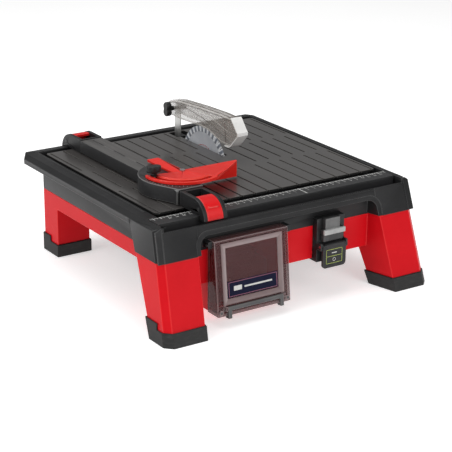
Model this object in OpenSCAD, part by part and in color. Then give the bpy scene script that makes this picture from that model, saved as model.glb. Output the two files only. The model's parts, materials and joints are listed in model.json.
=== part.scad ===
// Battery tile saw with a grooved table, a rip fence, a mitre gauge and a water tank under the blade.
// The model stands on its feet at Z = 0, centred on X and Y, with its front towards -Y.

/* [Stand] */
// Width of the tray rim
tray_w = 392; // [360:1:460]
// Depth of the tray rim
tray_d = 375; // [355:1:440]
// Height of the table above the ground
table_h = 141; // [141:1:180]
// Wall of the moulded housings
wall = 3; // [2.5:0.1:3.5]
// Forward lean of the front legs, per unit of height
splay = 0.305; // [0.2:0.005:0.32]
// Height of the rubber foot caps
foot_h = 18; // [14:1:24]

/* [Table] */
// Thickness of the table plate
plate_t = 3; // [2.5:0.1:4]
// Spacing of the grooves in the plate
groove_pitch = 20.5; // [16:0.5:26]
// Width of one groove
groove_w = 2.8; // [1.5:0.1:4]
// Depth of one groove
groove_deep = 1.4; // [0.8:0.1:1.8]

/* [Blade] */
// Diameter of the diamond blade
blade_d = 115; // [100:1:118]
// Thickness of the blade's core
blade_t = 1.6; // [1.2:0.1:2.2]
// Depth of the blade's axis below the table
axle_drop = 29; // [29:0.5:36]
// Teeth on the driven gear
gear_teeth = 31; // [29:1:32]
// Teeth on the motor pinion
pinion_teeth = 12; // [11:1:13]

/* [Fence] */
// Width of the fence beam
fence_w = 34; // [30:1:40]
// Height of the fence beam
fence_h = 18.5; // [14:0.5:18.5]
// Width of the mitre gauge outside the middle of its clamp slot
gauge_rim = 15; // [14:0.5:17]

/* [Battery] */
// Width of the battery hatch
hatch_w = 111; // [100:1:116]
// Height of the battery hatch
hatch_h = 98; // [90:1:98]

/* [Hidden] */
$fn = 48;

black = [0.10, 0.10, 0.11];
red = [0.78, 0.08, 0.10];
steel = [0.68, 0.69, 0.71];
big = 600;
seat = 0.1;
run = 0.03;
gap = 0.4;
turn_gap = 0.3;

cap_wall = 2;
leg_step = 0.8;

// Whole object: the feet reach forwards of the tray and the fence reaches behind it
foot_reach = table_h * splay + cap_wall - leg_step;
fence_over = 5;
front_y = foot_reach - (tray_d + fence_over + foot_reach) / 2;

// Legs, measured from the tray's front left corner
lean = 0.064;
back_slope = 0.466;
leg_back = 65.2;
leg_w = 58.5;
toe = 0.25;
corner_cut = 9;
cover_z = -42;
apron_set = 0.3;
skirt_x = 27;
front_wall_y = 8;
rear_wall_y = tray_d - 23;
skirt_z = -50;
front_seam_z = -43;
side_beam_z = -71;
front_beam_z = -88.5;
rear_leg_w = 50;
rear_leg_d = 40;

// Tray
lip_h = 11;
floor_z = -12;
rim_left = 26;
rim_right = 11.5;
rim_rear = 14;
front_rim_drop = 6;
rail_y0 = 14.5;
rail_y1 = 37.6;
deck_z = -6;
deck_t = 3;
deck_in = 10;
deck_rear = 1;
rib_t = 2.5;

// Table plate
plate_x0 = 31.5;
plate_x1 = tray_w - 15;
plate_y0 = 52;
plate_y1 = tray_d - 25;
band_1 = 153;
band_2 = 243;
band_gap = 12;

// Blade and drive
blade_x = tray_w - 154;
blade_y = tray_d - 112;
blade_z = -axle_drop;
blade_r = blade_d / 2;
slot_w = 8;
gear_m = 1;
gear_b = 8;
mesh_gap = 0.15;
// The pinion lies at 225 degrees from the spindle, seen along -X with Y to the right
mesh_angle = 225;
gear_gap = gear_m * (gear_teeth + pinion_teeth) / 2 + mesh_gap;
rotor_y = blade_y + gear_gap * cos(mesh_angle);
rotor_z = blade_z + gear_gap * sin(mesh_angle);
spindle_r = 6;
tail_r = 3.5;
flange_r = 18;
can_r = 21;
small_brg = [9.5, 6];
large_brg = [14, 8];
case_wall = 2;
cover_x = blade_x - 62;
gear_x = cover_x + 13;
case_x0 = cover_x + 10;
case_x1 = blade_x - 16;
can_x0 = cover_x - 74;
hub_x = blade_x - 15;
shroud = [blade_x - 12, blade_x + 18];
shroud_y = [blade_y - blade_r - 7, plate_y1 - deck_rear - wall - seat];
shroud_z = -56;
tank_top = shroud_z - gap;
tank_h = 40;
tank_wall = 2;
tank_x = [blade_x - 32, blade_x + 38];
tank_y = [shroud_y[0] - 6, rear_wall_y - wall - 2];
plug_at = [tank_x[1] - 14, tank_y[0] + 16];

// Riving knife and guard
knife_y = [tray_d - 48, tray_d - 33];
knife_t = 1.2;
pivot_y = knife_y[1] - 7;
pivot_z = 40;
guard_half = 8;
guard_x = [blade_x - guard_half, blade_x + guard_half];
guard_t = 1.8;
bolt_r = 2.5;

// Fence
fence_x = 72;
fence_y1 = tray_d + fence_over;
cheek_r = 26;
cheek_t = 5;
head_end = 58;
head_top = 20;
lever_y = 16;
lever_z = 8;
lever_pin_r = 2;
front_hook = 11.5;
rear_hook = fence_over - gap;
shoe_t = 2.6;

// Mitre gauge
gauge = [fence_x + fence_w + 5, 117];
gauge_t = 2;
gauge_z = fence_h + 2 * gap;
head_z = gauge_z + gauge_t + turn_gap;
head_t = 3;
slot_r = fence_w + 9;
gauge_r = slot_r + gauge_rim;
arm_x = 85;
arm_y = 66;

// Battery hatch and bay
hatch_x = 79;
hatch_z = -29;
hatch_back = 6;
hatch_front = -9;
hatch_lean = 10;
hinge_y = -2;
hinge_z = hatch_z - 5;
pin_r = 2;
bay_d = 92;
bay_x = [hatch_x + 1, hatch_x + hatch_w - 1];
bay_z = [hatch_z - hatch_h + 1, hatch_z - 4];
latch_x = [hatch_x + 13, hatch_x + hatch_w - 14];
latch_drop = 88;
board = [110, 130];

// Switch
switch_x = [243, 287];
paddle_z = -69;
paddle_y = -7;

// Runs of wire: battery to board, board to switch, board to motor
bay_back = front_wall_y + bay_d + 10;
loom_paths = [
    [[hatch_x + 55, bay_back, -64], [hatch_x + 55, bay_back + 8, -64], [board[0] + 20, board[1] - 8, -54],
        [board[0] + 17, board[1] + 4, -45], [board[0] + 15, board[1] + 10, -38]],
    [[switch_x[0] + 20, 34, -60], [switch_x[0] + 18, 46, -58], [switch_x[0] + 6, 66, -48],
        [board[0] + 105, board[1] - 30, -40], [board[0] + 68, board[1] - 6, -36],
        [board[0] + 48, board[1] + 6, -32]],
    [[board[0] + 8, board[1] + 36, -32], [board[0] - 2, board[1] + 52, -35],
        [can_x0 - 12, rotor_y - 50, -40], [can_x0 - 16, rotor_y - 24, -44],
        [can_x0 - 15, rotor_y - 12, -46], [can_x0 - 8, rotor_y - 5, -46], [can_x0 - 0.5, rotor_y - 4, -46]]];
loom_r = 1.8;
loom_n = 8;

module at_tray() {
    translate([-tray_w / 2, front_y, table_h]) children();
}

module block(lo, hi) {
    translate(lo) cube(hi - lo);
}

// Cylinder along X
module x_rod(x0, x1, y, z, r) {
    translate([x0, y, z]) rotate([0, 90, 0]) cylinder(h = x1 - x0, r = r);
}

// Cylinder along Y
module y_rod(y0, y1, x, z, r) {
    translate([x, y1, z]) rotate([90, 0, 0]) cylinder(h = y1 - y0, r = r);
}

module z_rod(z0, z1, x, y, r) {
    translate([x, y, z0]) cylinder(h = z1 - z0, r = r);
}

// Outline in Y and Z, extruded along X
module side_form(x0, x1) {
    translate([x0, 0, 0]) rotate([90, 0, 90]) linear_extrude(x1 - x0) children();
}

// Outline in X and Z, extruded along Y
module front_form(y0, y1) {
    translate([0, y1, 0]) rotate([90, 0, 0]) linear_extrude(y1 - y0) children();
}

module flat_form(z0, z1) {
    translate([0, 0, z0]) linear_extrude(z1 - z0) children();
}

module round_rect(lo, hi, r) {
    translate([lo[0] + r, lo[1]]) square([hi[0] - lo[0] - 2 * r, hi[1] - lo[1]]);
    translate([lo[0], lo[1] + r]) square([hi[0] - lo[0], hi[1] - lo[1] - 2 * r]);
    for (x = [lo[0] + r, hi[0] - r])
        for (y = [lo[1] + r, hi[1] - r])
            translate([x, y]) circle(r);
}

module both_sides() {
    children();
    translate([tray_w, 0, 0]) mirror([1, 0, 0]) children();
}

// ---- Legs and housing ----

// Left front leg between two heights, with its outer faces moved inwards by inset
module front_leg(z0, z1, inset) {
    slope_cut = lean + splay;
    tilt = atan(slope_cut / sqrt(2));
    difference() {
        intersection() {
            side_form(-60, 120) polygon([
                [splay * z1 + inset, z1], [leg_back + back_slope * z1 - inset, z1],
                [leg_back + back_slope * z0 - inset, z0], [splay * z0 + inset, z0]]);
            front_form(-90, 120) polygon([
                [lean * z1 + inset, z1], [120, z1], [120, z0], [lean * z0 + inset, z0]]);
            flat_form(z0, z1) polygon([
                [-60, -90], [leg_w - 90 * toe - inset, -90], [leg_w + 120 * toe - inset, 120],
                [-60, 120]]);
        }
        translate([corner_cut + inset, 0, 0]) rotate([0, -tilt, 225])
            translate([0, -100, -200]) cube([60, 200, 400]);
    }
}

module rear_leg(z0, z1, inset) {
    block([skirt_x + inset, rear_wall_y - rear_leg_d + inset, z0],
        [skirt_x + rear_leg_w - inset, rear_wall_y - inset, z1]);
}

module rim_outline() {
    polygon([[corner_cut, 0], [tray_w - corner_cut, 0], [tray_w, corner_cut],
        [tray_w, tray_d - 20], [tray_w - 13, tray_d], [13, tray_d], [0, tray_d - 20],
        [0, corner_cut]]);
}

// Sloping front slab of the apron, between two depths behind the plane that the front legs share
module apron_slab(front, back) {
    rotate([-atan(splay), 0, 0]) translate([-20, front, -120]) cube([tray_w + 40, back - front, 120]);
}

module apron_outline() {
    difference() {
        polygon([[0, 0], [tray_w, 0], [tray_w - lean * cover_z, cover_z], [lean * cover_z, cover_z]]);
        round_rect([60, -100], [tray_w - 56, -20], 14);
    }
}

module skirt_ring(z0, z1) {
    difference() {
        block([skirt_x, front_wall_y, z0], [tray_w - skirt_x, rear_wall_y, z1]);
        block([skirt_x + wall, front_wall_y + wall, z0 - 1],
            [tray_w - skirt_x - wall, rear_wall_y - wall, z1 + 1]);
    }
}

module screw_places() {
    for (x = [skirt_x + 14, tray_w - skirt_x - 14])
        for (y = [84, rear_wall_y - 60])
            translate([x, y, 0]) children();
}

module blade_opening(z0, z1) {
    block([shroud[0] + 2, shroud_y[0] + 2, z0], [shroud[1] - 2, shroud_y[1] - 2, z1]);
}

// Ribs on the deck that carry the plate
module deck_ribs() {
    for (x = [plate_x0 + deck_in + 2 : 40 : plate_x1 - deck_in - 4])
        if (x + rib_t < shroud[0] || x > shroud[1])
            block([x, plate_y0 + deck_in, deck_z - 1], [x + rib_t, plate_y1 - deck_rear, -plate_t]);
}

// Pillars under the deck for the screws that come up through the frame
module screw_pillars() {
    z0 = side_beam_z + wall + seat;
    screw_places() difference() {
        z_rod(z0, deck_z - deck_t + 0.5, 0, 0, 5);
        z_rod(z0 - 1, z0 + 22, 0, 0, 2.1);
    }
}

module top_housing() {
    color(black) at_tray() {
        deck_ribs();
        screw_pillars();
    }
    color(black) at_tray() difference() {
        union() {
            flat_form(-lip_h, 0) rim_outline();
            block([rim_left - 4, 1, floor_z - wall], [tray_w - 6, tray_d - 10, floor_z + 1]);
            intersection() {
                apron_slab(apron_set, apron_set + wall);
                front_form(-60, 20) apron_outline();
            }
            block([10, -2, -20], [tray_w - 10, 2, -5]);
            skirt_ring(skirt_z, floor_z);
            both_sides() difference() {
                front_leg(cover_z, -2, 0);
                front_leg(cover_z - 5, floor_z - wall, wall);
            }
            both_sides() rear_leg(skirt_z, floor_z, 0);
            block([plate_x0 + deck_in, plate_y0 + deck_in, floor_z - wall],
                [plate_x1 - deck_in, plate_y1 - deck_rear, deck_z]);
            hinge_ears();
        }
        // Basin inside the rim, a step lower at the front where the ruler rail lies
        block([rim_left, rail_y1, floor_z], [tray_w - rim_right, plate_y0 + deck_in, big]);
        block([rim_left, plate_y0, floor_z], [plate_x0 + deck_in, tray_d - rim_rear, big]);
        block([plate_x1 - deck_in, plate_y0, floor_z], [tray_w - rim_right, tray_d - rim_rear, big]);
        block([rim_left, plate_y1 - deck_rear, floor_z], [tray_w - rim_right, tray_d - rim_rear, big]);
        block([rim_left, plate_y0, deck_z], [tray_w - rim_right, tray_d - rim_rear, big]);
        block([12, 1.5, floor_z], [tray_w - 11, rail_y1 + 1, big]);
        block([12, -8, -front_rim_drop], [tray_w - 11, 3, big]);
        block([20, tray_d - 13, -1], [tray_w - 20, tray_d - 3, big]);
        // Hollow under the deck
        block([plate_x0 + deck_in + wall, plate_y0 + deck_in + wall, floor_z - wall - 1],
            [plate_x1 - deck_in - wall, plate_y1 - deck_rear - wall, deck_z - deck_t]);
        // Hollows of the rear legs, behind the skirt walls
        both_sides() block([skirt_x + wall, rear_wall_y - rear_leg_d + wall, skirt_z - 1],
            [skirt_x + rear_leg_w - wall, rear_wall_y - wall, floor_z - wall]);
        // Bevels along the rim's outer top edges
        translate([0, 0, -4]) rotate([0, -25, 0]) translate([-20, -20, 0]) cube([34, 500, 30]);
        translate([tray_w, 0, -3]) rotate([0, 35, 0]) translate([-10, -20, 0]) cube([34, 500, 30]);
        translate([0, tray_d, -3]) rotate([-45, 0, 0]) translate([-20, -10, 0]) cube([500, 40, 30]);
        // Raised border round the front arch
        intersection() {
            apron_slab(-2, apron_set + 1);
            front_form(-60, 20) round_rect([54, -110], [tray_w - 50, -14], 18);
        }
        // Front wall stops higher than the sides
        block([skirt_x + wall, front_wall_y - 1, skirt_z - 1],
            [tray_w - skirt_x - wall, front_wall_y + wall + 1, front_seam_z]);
        blade_opening(-40, 1);
        x_rod(hatch_x - 8, hatch_x + hatch_w + 8, hinge_y, hinge_z, pin_r);
        hatch_space();
        switch_space();
        front_leg_pass();
    }
}

// Lugs beside the hatch that carry its hinge pins
module hinge_ears() {
    for (x = [hatch_x - gap - 6, hatch_x + hatch_w + gap])
        block([x, hinge_y - 4, hinge_z - 4], [x + 6, front_wall_y + 1, hinge_z + 5]);
}

// Room for the battery bay through the front walls
module hatch_space() {
    block([bay_x[0] - seat, front_wall_y - 1, bay_z[0] - seat],
        [bay_x[1] + seat, front_wall_y + wall + 1, bay_z[1] + seat]);
}

module switch_space() {
    block([switch_x[0] - seat, front_wall_y - 1, -92], [switch_x[1] + seat, front_wall_y + 4, -32]);
}

// The front legs stay open to the inside of the housing
module front_leg_pass() {
    both_sides() front_leg(-big / 6, floor_z - wall, wall);
}

module base_frame() {
    color(red) at_tray() difference() {
        union() {
            skirt_ring(side_beam_z, skirt_z - seat);
            block([skirt_x, front_wall_y, front_beam_z],
                [tray_w - skirt_x, front_wall_y + wall, front_seam_z - seat]);
            // Inward flange along the bottom of the side and rear beams
            difference() {
                block([skirt_x, front_wall_y, side_beam_z], [tray_w - skirt_x, rear_wall_y, side_beam_z + wall]);
                block([skirt_x + 10, front_wall_y - 1, side_beam_z - 1],
                    [tray_w - skirt_x - 10, rear_wall_y - 10, side_beam_z + wall + 1]);
            }
            screw_places() translate([0, 0, side_beam_z]) cylinder(h = wall, r = 9);
            both_sides() front_leg(-table_h + 3, cover_z - seat, leg_step);
            both_sides() rear_leg(-table_h + 3, skirt_z - seat, 0);
        }
        both_sides() front_leg(-table_h - 5, cover_z + 5, leg_step + wall);
        both_sides() rear_leg(-table_h - 5, skirt_z + 5, wall);
        screw_places() translate([0, 0, side_beam_z - 1]) cylinder(h = 10, r = 2.3);
        hatch_space();
        switch_space();
        // The housing's skirt drops into the frame at the sides
        both_sides() block([skirt_x - seat, front_wall_y - seat, skirt_z - seat],
            [skirt_x + wall + seat, rear_wall_y + 1, 0]);
        block([skirt_x, front_wall_y - seat, front_seam_z - seat],
            [tray_w - skirt_x, front_wall_y + wall + seat, 0]);
        // The battery bay's own flange closes the front as far as the switch
        block([bay_x[1] - seat, front_wall_y - 1, front_beam_z - 1],
            [switch_x[0] + 1, front_wall_y + wall + 1, 0]);
        // The rear flange is cut back where the water tank hangs
        block([tank_x[0] - 5, tank_y[1] - 20, side_beam_z - 1],
            [tank_x[1] + 5, rear_wall_y - wall, side_beam_z + wall + 1]);
    }
}

// Rubber cup pushed over the end of a front leg, higher at its outer rear corner
module front_foot() {
    difference() {
        union() {
            front_leg(-table_h, -table_h + foot_h, leg_step - cap_wall);
            intersection() {
                front_leg(-table_h, -table_h + foot_h + 8, leg_step - cap_wall);
                block([-20, -16, -table_h], [20, 60, 0]);
            }
        }
        front_leg(-table_h + 3 - seat, -table_h + foot_h + 20, leg_step - seat);
    }
}

module rear_foot() {
    difference() {
        union() {
            rear_leg(-table_h, -table_h + foot_h, -cap_wall);
            block([skirt_x - cap_wall, rear_wall_y - 20, -table_h],
                [skirt_x + 16, rear_wall_y + cap_wall, -table_h + foot_h + 8]);
        }
        rear_leg(-table_h + 3 - seat, -table_h + foot_h + 20, -seat);
    }
}

module foot_front_left() {
    color([0.07, 0.07, 0.07]) at_tray() front_foot();
}

module foot_front_right() {
    color([0.07, 0.07, 0.07]) at_tray() translate([tray_w, 0, 0]) mirror([1, 0, 0]) front_foot();
}

module foot_rear_left() {
    color([0.07, 0.07, 0.07]) at_tray() rear_foot();
}

module foot_rear_right() {
    color([0.07, 0.07, 0.07]) at_tray() translate([tray_w, 0, 0]) mirror([1, 0, 0]) rear_foot();
}

// ---- Table ----

module groove(x, y0, y1) {
    block([x - groove_w / 2, y0, -groove_deep], [x + groove_w / 2, y1, 1]);
}

// Grooves to the right of the blade lie in three bands, and the middle band is shifted half a pitch
module grooves() {
    right_n = floor((plate_x1 - blade_x - 14) / groove_pitch);
    left_n = floor((blade_x - plate_x0 - 20) / groove_pitch);
    for (i = [0 : right_n]) {
        x = blade_x + 11.5 + i * groove_pitch;
        if (x < plate_x1 - 2) {
            groove(x, plate_y0 - 1, band_1);
            if (i > 0) groove(x, band_2 + band_gap, plate_y1 - 3);
        }
        if (x + groove_pitch / 2 < plate_x1 - 2)
            groove(x + groove_pitch / 2, band_1 + band_gap, band_2);
    }
    for (i = [0 : left_n]) {
        x = blade_x - 16.5 - i * groove_pitch;
        groove(x, plate_y0 - 1, band_1);
        groove(x, band_2 + band_gap, plate_y1 - 3);
        if (x - groove_pitch / 2 > plate_x0 + 4)
            groove(x - groove_pitch / 2, band_1 + band_gap, band_2);
    }
}

module table_plate() {
    color([0.36, 0.34, 0.33]) at_tray() difference() {
        flat_form(-plate_t, 0) round_rect([plate_x0, plate_y0], [plate_x1, plate_y1], 4);
        grooves();
        // Scallops where the front grooves run out
        for (i = [-9 : 6])
            z_rod(-5, 1, blade_x + 11.5 + i * groove_pitch - (i < 0 ? 7.5 : 0), plate_y0 - 1, 3);
        block([blade_x - slot_w / 2, blade_y - blade_r + 4, -5],
            [blade_x + slot_w / 2, knife_y[1] + 3, 1]);
        block([blade_x - 9, knife_y[0] - 5, -5], [blade_x + 17, knife_y[1] + 5, 1]);
    }
}

module front_ruler() {
    color([0.16, 0.16, 0.17]) at_tray() difference() {
        block([13, rail_y0, floor_z + seat], [tray_w - 12, rail_y1, 0]);
        block([12, rail_y0 + 4, floor_z - 1], [tray_w - 11, rail_y1 - 4, -3]);
    }
}

module rear_ruler() {
    color([0.16, 0.16, 0.17]) at_tray()
        block([21, tray_d - 12.8, -1 + seat / 10], [tray_w - 21, tray_d - 3.2, 0]);
}

// ---- Battery ----

module battery_bay() {
    color(red) at_tray() difference() {
        union() {
            block([bay_x[0], front_wall_y, bay_z[0]], [bay_x[1], front_wall_y + bay_d, bay_z[1]]);
            block([bay_x[1] - 1, front_wall_y, front_beam_z],
                [switch_x[0] - seat, front_wall_y + wall, front_seam_z - seat]);
        }
        block([bay_x[0] + wall, front_wall_y - 1, bay_z[0] + wall],
            [bay_x[1] - wall, front_wall_y + bay_d - wall, bay_z[1] - wall]);
        // Passage for the terminal block
        block([hatch_x + 35, front_wall_y + bay_d - wall - 1, bay_z[0] + 51],
            [hatch_x + 75, front_wall_y + bay_d + 1, bay_z[0] + 71]);
    }
}

module battery_pack() {
    x0 = hatch_x + 16;
    x1 = hatch_x + hatch_w - 16;
    y0 = front_wall_y + 4;
    floor_top = bay_z[0] + wall;
    color([0.12, 0.12, 0.13]) at_tray() difference() {
        union() {
            side_form(x0, x1) round_rect([y0, floor_top], [y0 + 74, floor_top + 48], 5);
            block([x0 + 9, y0 + 10, floor_top + 47], [x1 - 9, y0 + 72, floor_top + 60]);
        }
        for (x = [x0 + 9, x1 - 13])
            block([x - 0.1, y0, floor_top + 51], [x + 4.1, y0 + 80, floor_top + 55]);
    }
}

module battery_terminals() {
    y1 = front_wall_y + bay_d;
    color([0.15, 0.15, 0.16]) at_tray() {
        block([hatch_x + 35 + seat, y1 - 16, bay_z[0] + 51 + seat],
            [hatch_x + 75 - seat, y1 + 10, bay_z[0] + 71 - seat]);
    }
}

module hatch_pins() {
    color(steel) at_tray() {
        x_rod(hatch_x - 7, hatch_x + 8, hinge_y, hinge_z, pin_r - 0.05);
        x_rod(hatch_x + hatch_w - 8, hatch_x + hatch_w + 7, hinge_y, hinge_z, pin_r - 0.05);
    }
}

// Side outline of the hatch: upright back, front face leaning out towards the bottom
module hatch_outline(inset) {
    z1 = hatch_z - inset;
    z0 = hatch_z - hatch_h + inset;
    polygon([[hatch_back, z1], [hatch_front + inset, z1],
        [hatch_front - hatch_lean + inset, z0], [hatch_back, z0]]);
}

module hatch_window() {
    x0 = hatch_x;
    x1 = hatch_x + hatch_w;
    color([0.45, 0.36, 0.37, 0.6]) at_tray() difference() {
        union() {
            side_form(x0, x1) hatch_outline(0);
            // Lugs that carry the latch bar
            for (x = [latch_x[0] - 3.5, latch_x[1] + turn_gap])
                on_hatch_front() block([x, -5.2, -latch_drop - 3], [x + 3.2, 1, -latch_drop + 3]);
        }
        side_form(x0 + 2.5, x1 - 2.5) difference() {
            hatch_outline(2.5);
            translate([hinge_y, hinge_z]) circle(4.5);
        }
        side_form(x0 + 10, x1 - 10) hatch_outline(2.5);
        block([x0 + 2.5, hatch_back - 3, hatch_z - hatch_h + 2.5],
            [x1 - 2.5, hatch_back + 1, hatch_z - 12]);
        // Recessed window field
        on_hatch_front() block([x0 + 15, -5, -78], [x1 - 16, 1, -8]);
        x_rod(x0 - 1, x0 + 11, hinge_y, hinge_z, pin_r);
        x_rod(x1 - 11, x1 + 1, hinge_y, hinge_z, pin_r);
        on_hatch_front() x_rod(x0, x1, -3.2, -latch_drop, 1.5 + 0.05);
    }
}

// Moves pieces onto the sloping front face: local Z runs down the face and local -Y stands out from it
module on_hatch_front() {
    translate([0, hatch_front, hatch_z]) rotate([-atan(hatch_lean / hatch_h), 0, 0]) children();
}

module hatch_latch() {
    x0 = latch_x[0];
    x1 = latch_x[1];
    z = -latch_drop;
    color([0.2, 0.2, 0.21]) at_tray() on_hatch_front() {
        x_rod(x0 - 3, x1 + 3, -3.2, z, 1.5);
        block([x0, -5.4, z - 2.5], [x1, -1.6, z + 2.5]);
        for (x = [x0, x1 - 5]) {
            block([x, -5.4, z - 13], [x + 5, -1.4, z]);
            block([x, -5.4, z - 13], [x + 5, 3, z - 11.2]);
        }
    }
}

// ---- Switch ----

module switch_box() {
    color(black) at_tray() difference() {
        block([switch_x[0], -1, -92 + seat], [switch_x[1], 34, -32 - seat]);
        block([switch_x[0] + 2, 1, -90], [switch_x[1] - 2, 35, -34]);
    }
    color(black) at_tray() difference() {
        for (x = [switch_x[0], switch_x[1] - 3])
            block([x, -10, paddle_z - 5], [x + 3, -1, paddle_z + 5]);
        x_rod(switch_x[0] - 1, switch_x[1] + 1, paddle_y, paddle_z, 1.5);
    }
}

module switch_bezel() {
    color([0.36, 0.36, 0.38]) at_tray() {
        block([switch_x[0] + 8, -8, -46], [switch_x[1] - 12, -1 - seat / 10, -31]);
        block([switch_x[0] + 5, -11, -53], [switch_x[1] - 5, -1 - seat / 10, -46]);
        block([switch_x[0] + 6, -7.5, -63], [switch_x[1] - 6, -1 - seat / 10, -53]);
    }
}

module switch_paddle() {
    x0 = switch_x[0] + 3 + turn_gap;
    x1 = switch_x[1] - 3 - turn_gap;
    color([0.1, 0.1, 0.11]) at_tray() difference() {
        union() {
            x_rod(x0, x1, paddle_y, paddle_z, 3);
            front_form(paddle_y - 4, paddle_y) round_rect([x0, -99], [x1, paddle_z + 2], 5);
        }
        x_rod(x0 - 1, x1 + 1, paddle_y, paddle_z, 1.5);
        front_form(paddle_y - 5, paddle_y - 3.2) round_rect([x0 + 4, -95], [x1 - 4, paddle_z - 3], 3);
    }
}

module paddle_pins() {
    color(steel) at_tray() x_rod(switch_x[0] + 0.5, switch_x[1] - 0.5, paddle_y, paddle_z, 1.5 - 0.05);
}

// ---- Motor and drive ----

// Board on two posts under the deck
module control_board() {
    x0 = board[0];
    y0 = board[1];
    color([0.1, 0.35, 0.2]) at_tray() {
        block([x0, y0, -30], [x0 + 46, y0 + 34, -28.4]);
        for (x = [x0 + 5, x0 + 41])
            z_rod(-28.4, deck_z - deck_t, x, y0 + 17, 2.5);
        block([x0 + 10, y0 + 5, -36], [x0 + 30, y0 + 15, -30]);
        y_rod(y0 + 18, y0 + 30, x0 + 30, -35, 5);
    }
}

function unit(v) = v / norm(v);
function path_dir(p, i) = unit(p[min(i + 1, len(p) - 1)] - p[max(i - 1, 0)]);
function ring(p, i) = let (d = path_dir(p, i), s = unit(cross(d, [0, 0, 1])), u = cross(s, d))
    [for (k = [0 : loom_n - 1]) p[i] + loom_r * (cos(360 * k / loom_n) * s + sin(360 * k / loom_n) * u)];

module wire(p) {
    rings = len(p);
    points = [for (i = [0 : rings - 1]) each ring(p, i)];
    sides = [for (i = [0 : rings - 2], k = [0 : loom_n - 1])
        [i * loom_n + k, i * loom_n + (k + 1) % loom_n, (i + 1) * loom_n + (k + 1) % loom_n,
            (i + 1) * loom_n + k]];
    first = [for (k = [loom_n - 1 : -1 : 0]) k];
    last = [for (k = [0 : loom_n - 1]) (rings - 1) * loom_n + k];
    polyhedron(points, concat([first], sides, [last]));
}

module wiring_loom() {
    color([0.75, 0.1, 0.1]) at_tray() for (p = loom_paths) wire(p);
}

module motor_can() {
    color([0.45, 0.46, 0.48]) at_tray() difference() {
        x_rod(can_x0, cover_x, rotor_y, rotor_z, can_r);
        difference() {
            x_rod(can_x0 + 2, cover_x + 1, rotor_y, rotor_z, can_r - 2);
            x_rod(can_x0 + 1, can_x0 + 7.5, rotor_y, rotor_z, 11);
        }
        x_rod(can_x0 + 2, can_x0 + 8, rotor_y, rotor_z, 8);
        x_rod(can_x0 - 1, can_x0 + 3, rotor_y, rotor_z, 3 + 0.4);
        for (a = [0 : 60 : 300])
            translate([0, rotor_y, rotor_z]) rotate([a, 0, 0])
                block([cover_x - 14, -4, can_r - 4], [cover_x - 4, 4, can_r + 1]);
    }
}

// Tray that closes the motor space from below
module motor_cover() {
    y0 = rotor_y - can_r - 5;
    y1 = rotor_y + can_r + 5;
    z0 = rotor_z - can_r - 5;
    color(black) at_tray() difference() {
        block([can_x0 - 6, y0, z0], [cover_x - seat, y1, deck_z - deck_t]);
        block([can_x0 - 4, y0 + 2, z0 + 2], [cover_x + 1, y1 - 2, deck_z]);
        for (x = [can_x0 + 6 : 10 : cover_x - 12])
            block([x, y0 + 10, z0 - 1], [x + 4, y1 - 10, z0 + 3]);
        block([can_x0 - 7, rotor_y - 12, -52], [can_x0 - 3, rotor_y + 4, -40]);
    }
}

// Outline of the gear housing: a round pocket for each gear and a flat top
module case_outline(grow) {
    hull() {
        translate([blade_y, blade_z]) circle(19.5 + grow, $fn = 40);
        translate([rotor_y, rotor_z]) circle(11.5 + grow, $fn = 40);
    }
}

module gear_cover() {
    color([0.62, 0.63, 0.65]) at_tray() difference() {
        side_form(cover_x + seat, case_x0) case_outline(0);
        x_rod(case_x0 - small_brg[1] - seat, case_x0 + 1, blade_y, blade_z, small_brg[0]);
        x_rod(case_x0 - small_brg[1] - seat, case_x0 + 1, rotor_y, rotor_z, small_brg[0]);
        x_rod(cover_x - 1, case_x0, rotor_y, rotor_z, tail_r + 1);
    }
}

module gear_case() {
    color([0.62, 0.63, 0.65]) at_tray() difference() {
        union() {
            side_form(case_x0 + seat, case_x0 + 15) case_outline(0);
            x_rod(case_x0 + 14, case_x1, blade_y, blade_z, 17);
            // Mounting pad under the deck
            block([case_x0 + 4, blade_y - 12, -16], [case_x0 + 13, blade_y + 12, deck_z - deck_t]);
        }
        side_form(case_x0, case_x0 + 13) case_outline(-case_wall);
        x_rod(case_x1 - 8 - large_brg[1], case_x1 - 8, blade_y, blade_z, large_brg[0]);
        x_rod(case_x0 + 12, case_x1 + 1, blade_y, blade_z, spindle_r + 2);
        x_rod(case_x1 - 5, case_x1 + 1, blade_y, blade_z, 12);
    }
}

module bearing(x0, y, z, size, bore) {
    difference() {
        x_rod(x0, x0 + size[1], y, z, size[0] - 0.02);
        x_rod(x0 - 1, x0 + size[1] + 1, y, z, bore + run);
        for (x = [x0 - 1, x0 + size[1] - 0.5]) difference() {
            x_rod(x, x + 1.5, y, z, size[0] - 1.5);
            x_rod(x - 1, x + 3, y, z, bore + 1.6);
        }
    }
}

module spindle_bearings() {
    color(steel) at_tray() {
        bearing(case_x0 - small_brg[1], blade_y, blade_z, small_brg, tail_r);
        bearing(case_x1 - 8 - large_brg[1] + seat / 2, blade_y, blade_z,
            [large_brg[0], large_brg[1] - seat], spindle_r);
    }
}

module rotor_bearings() {
    color(steel) at_tray() {
        bearing(case_x0 - small_brg[1], rotor_y, rotor_z, small_brg, tail_r);
        bearing(can_x0 + 2 + seat, rotor_y, rotor_z, [8, 5], 3);
    }
}

module shaft_seal() {
    color([0.08, 0.08, 0.08]) at_tray() difference() {
        x_rod(case_x1 - 5 + seat, case_x1 - seat, blade_y, blade_z, 12 - 0.02);
        x_rod(case_x1 - 6, case_x1 + 1, blade_y, blade_z, spindle_r + 0.08);
    }
}

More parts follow.
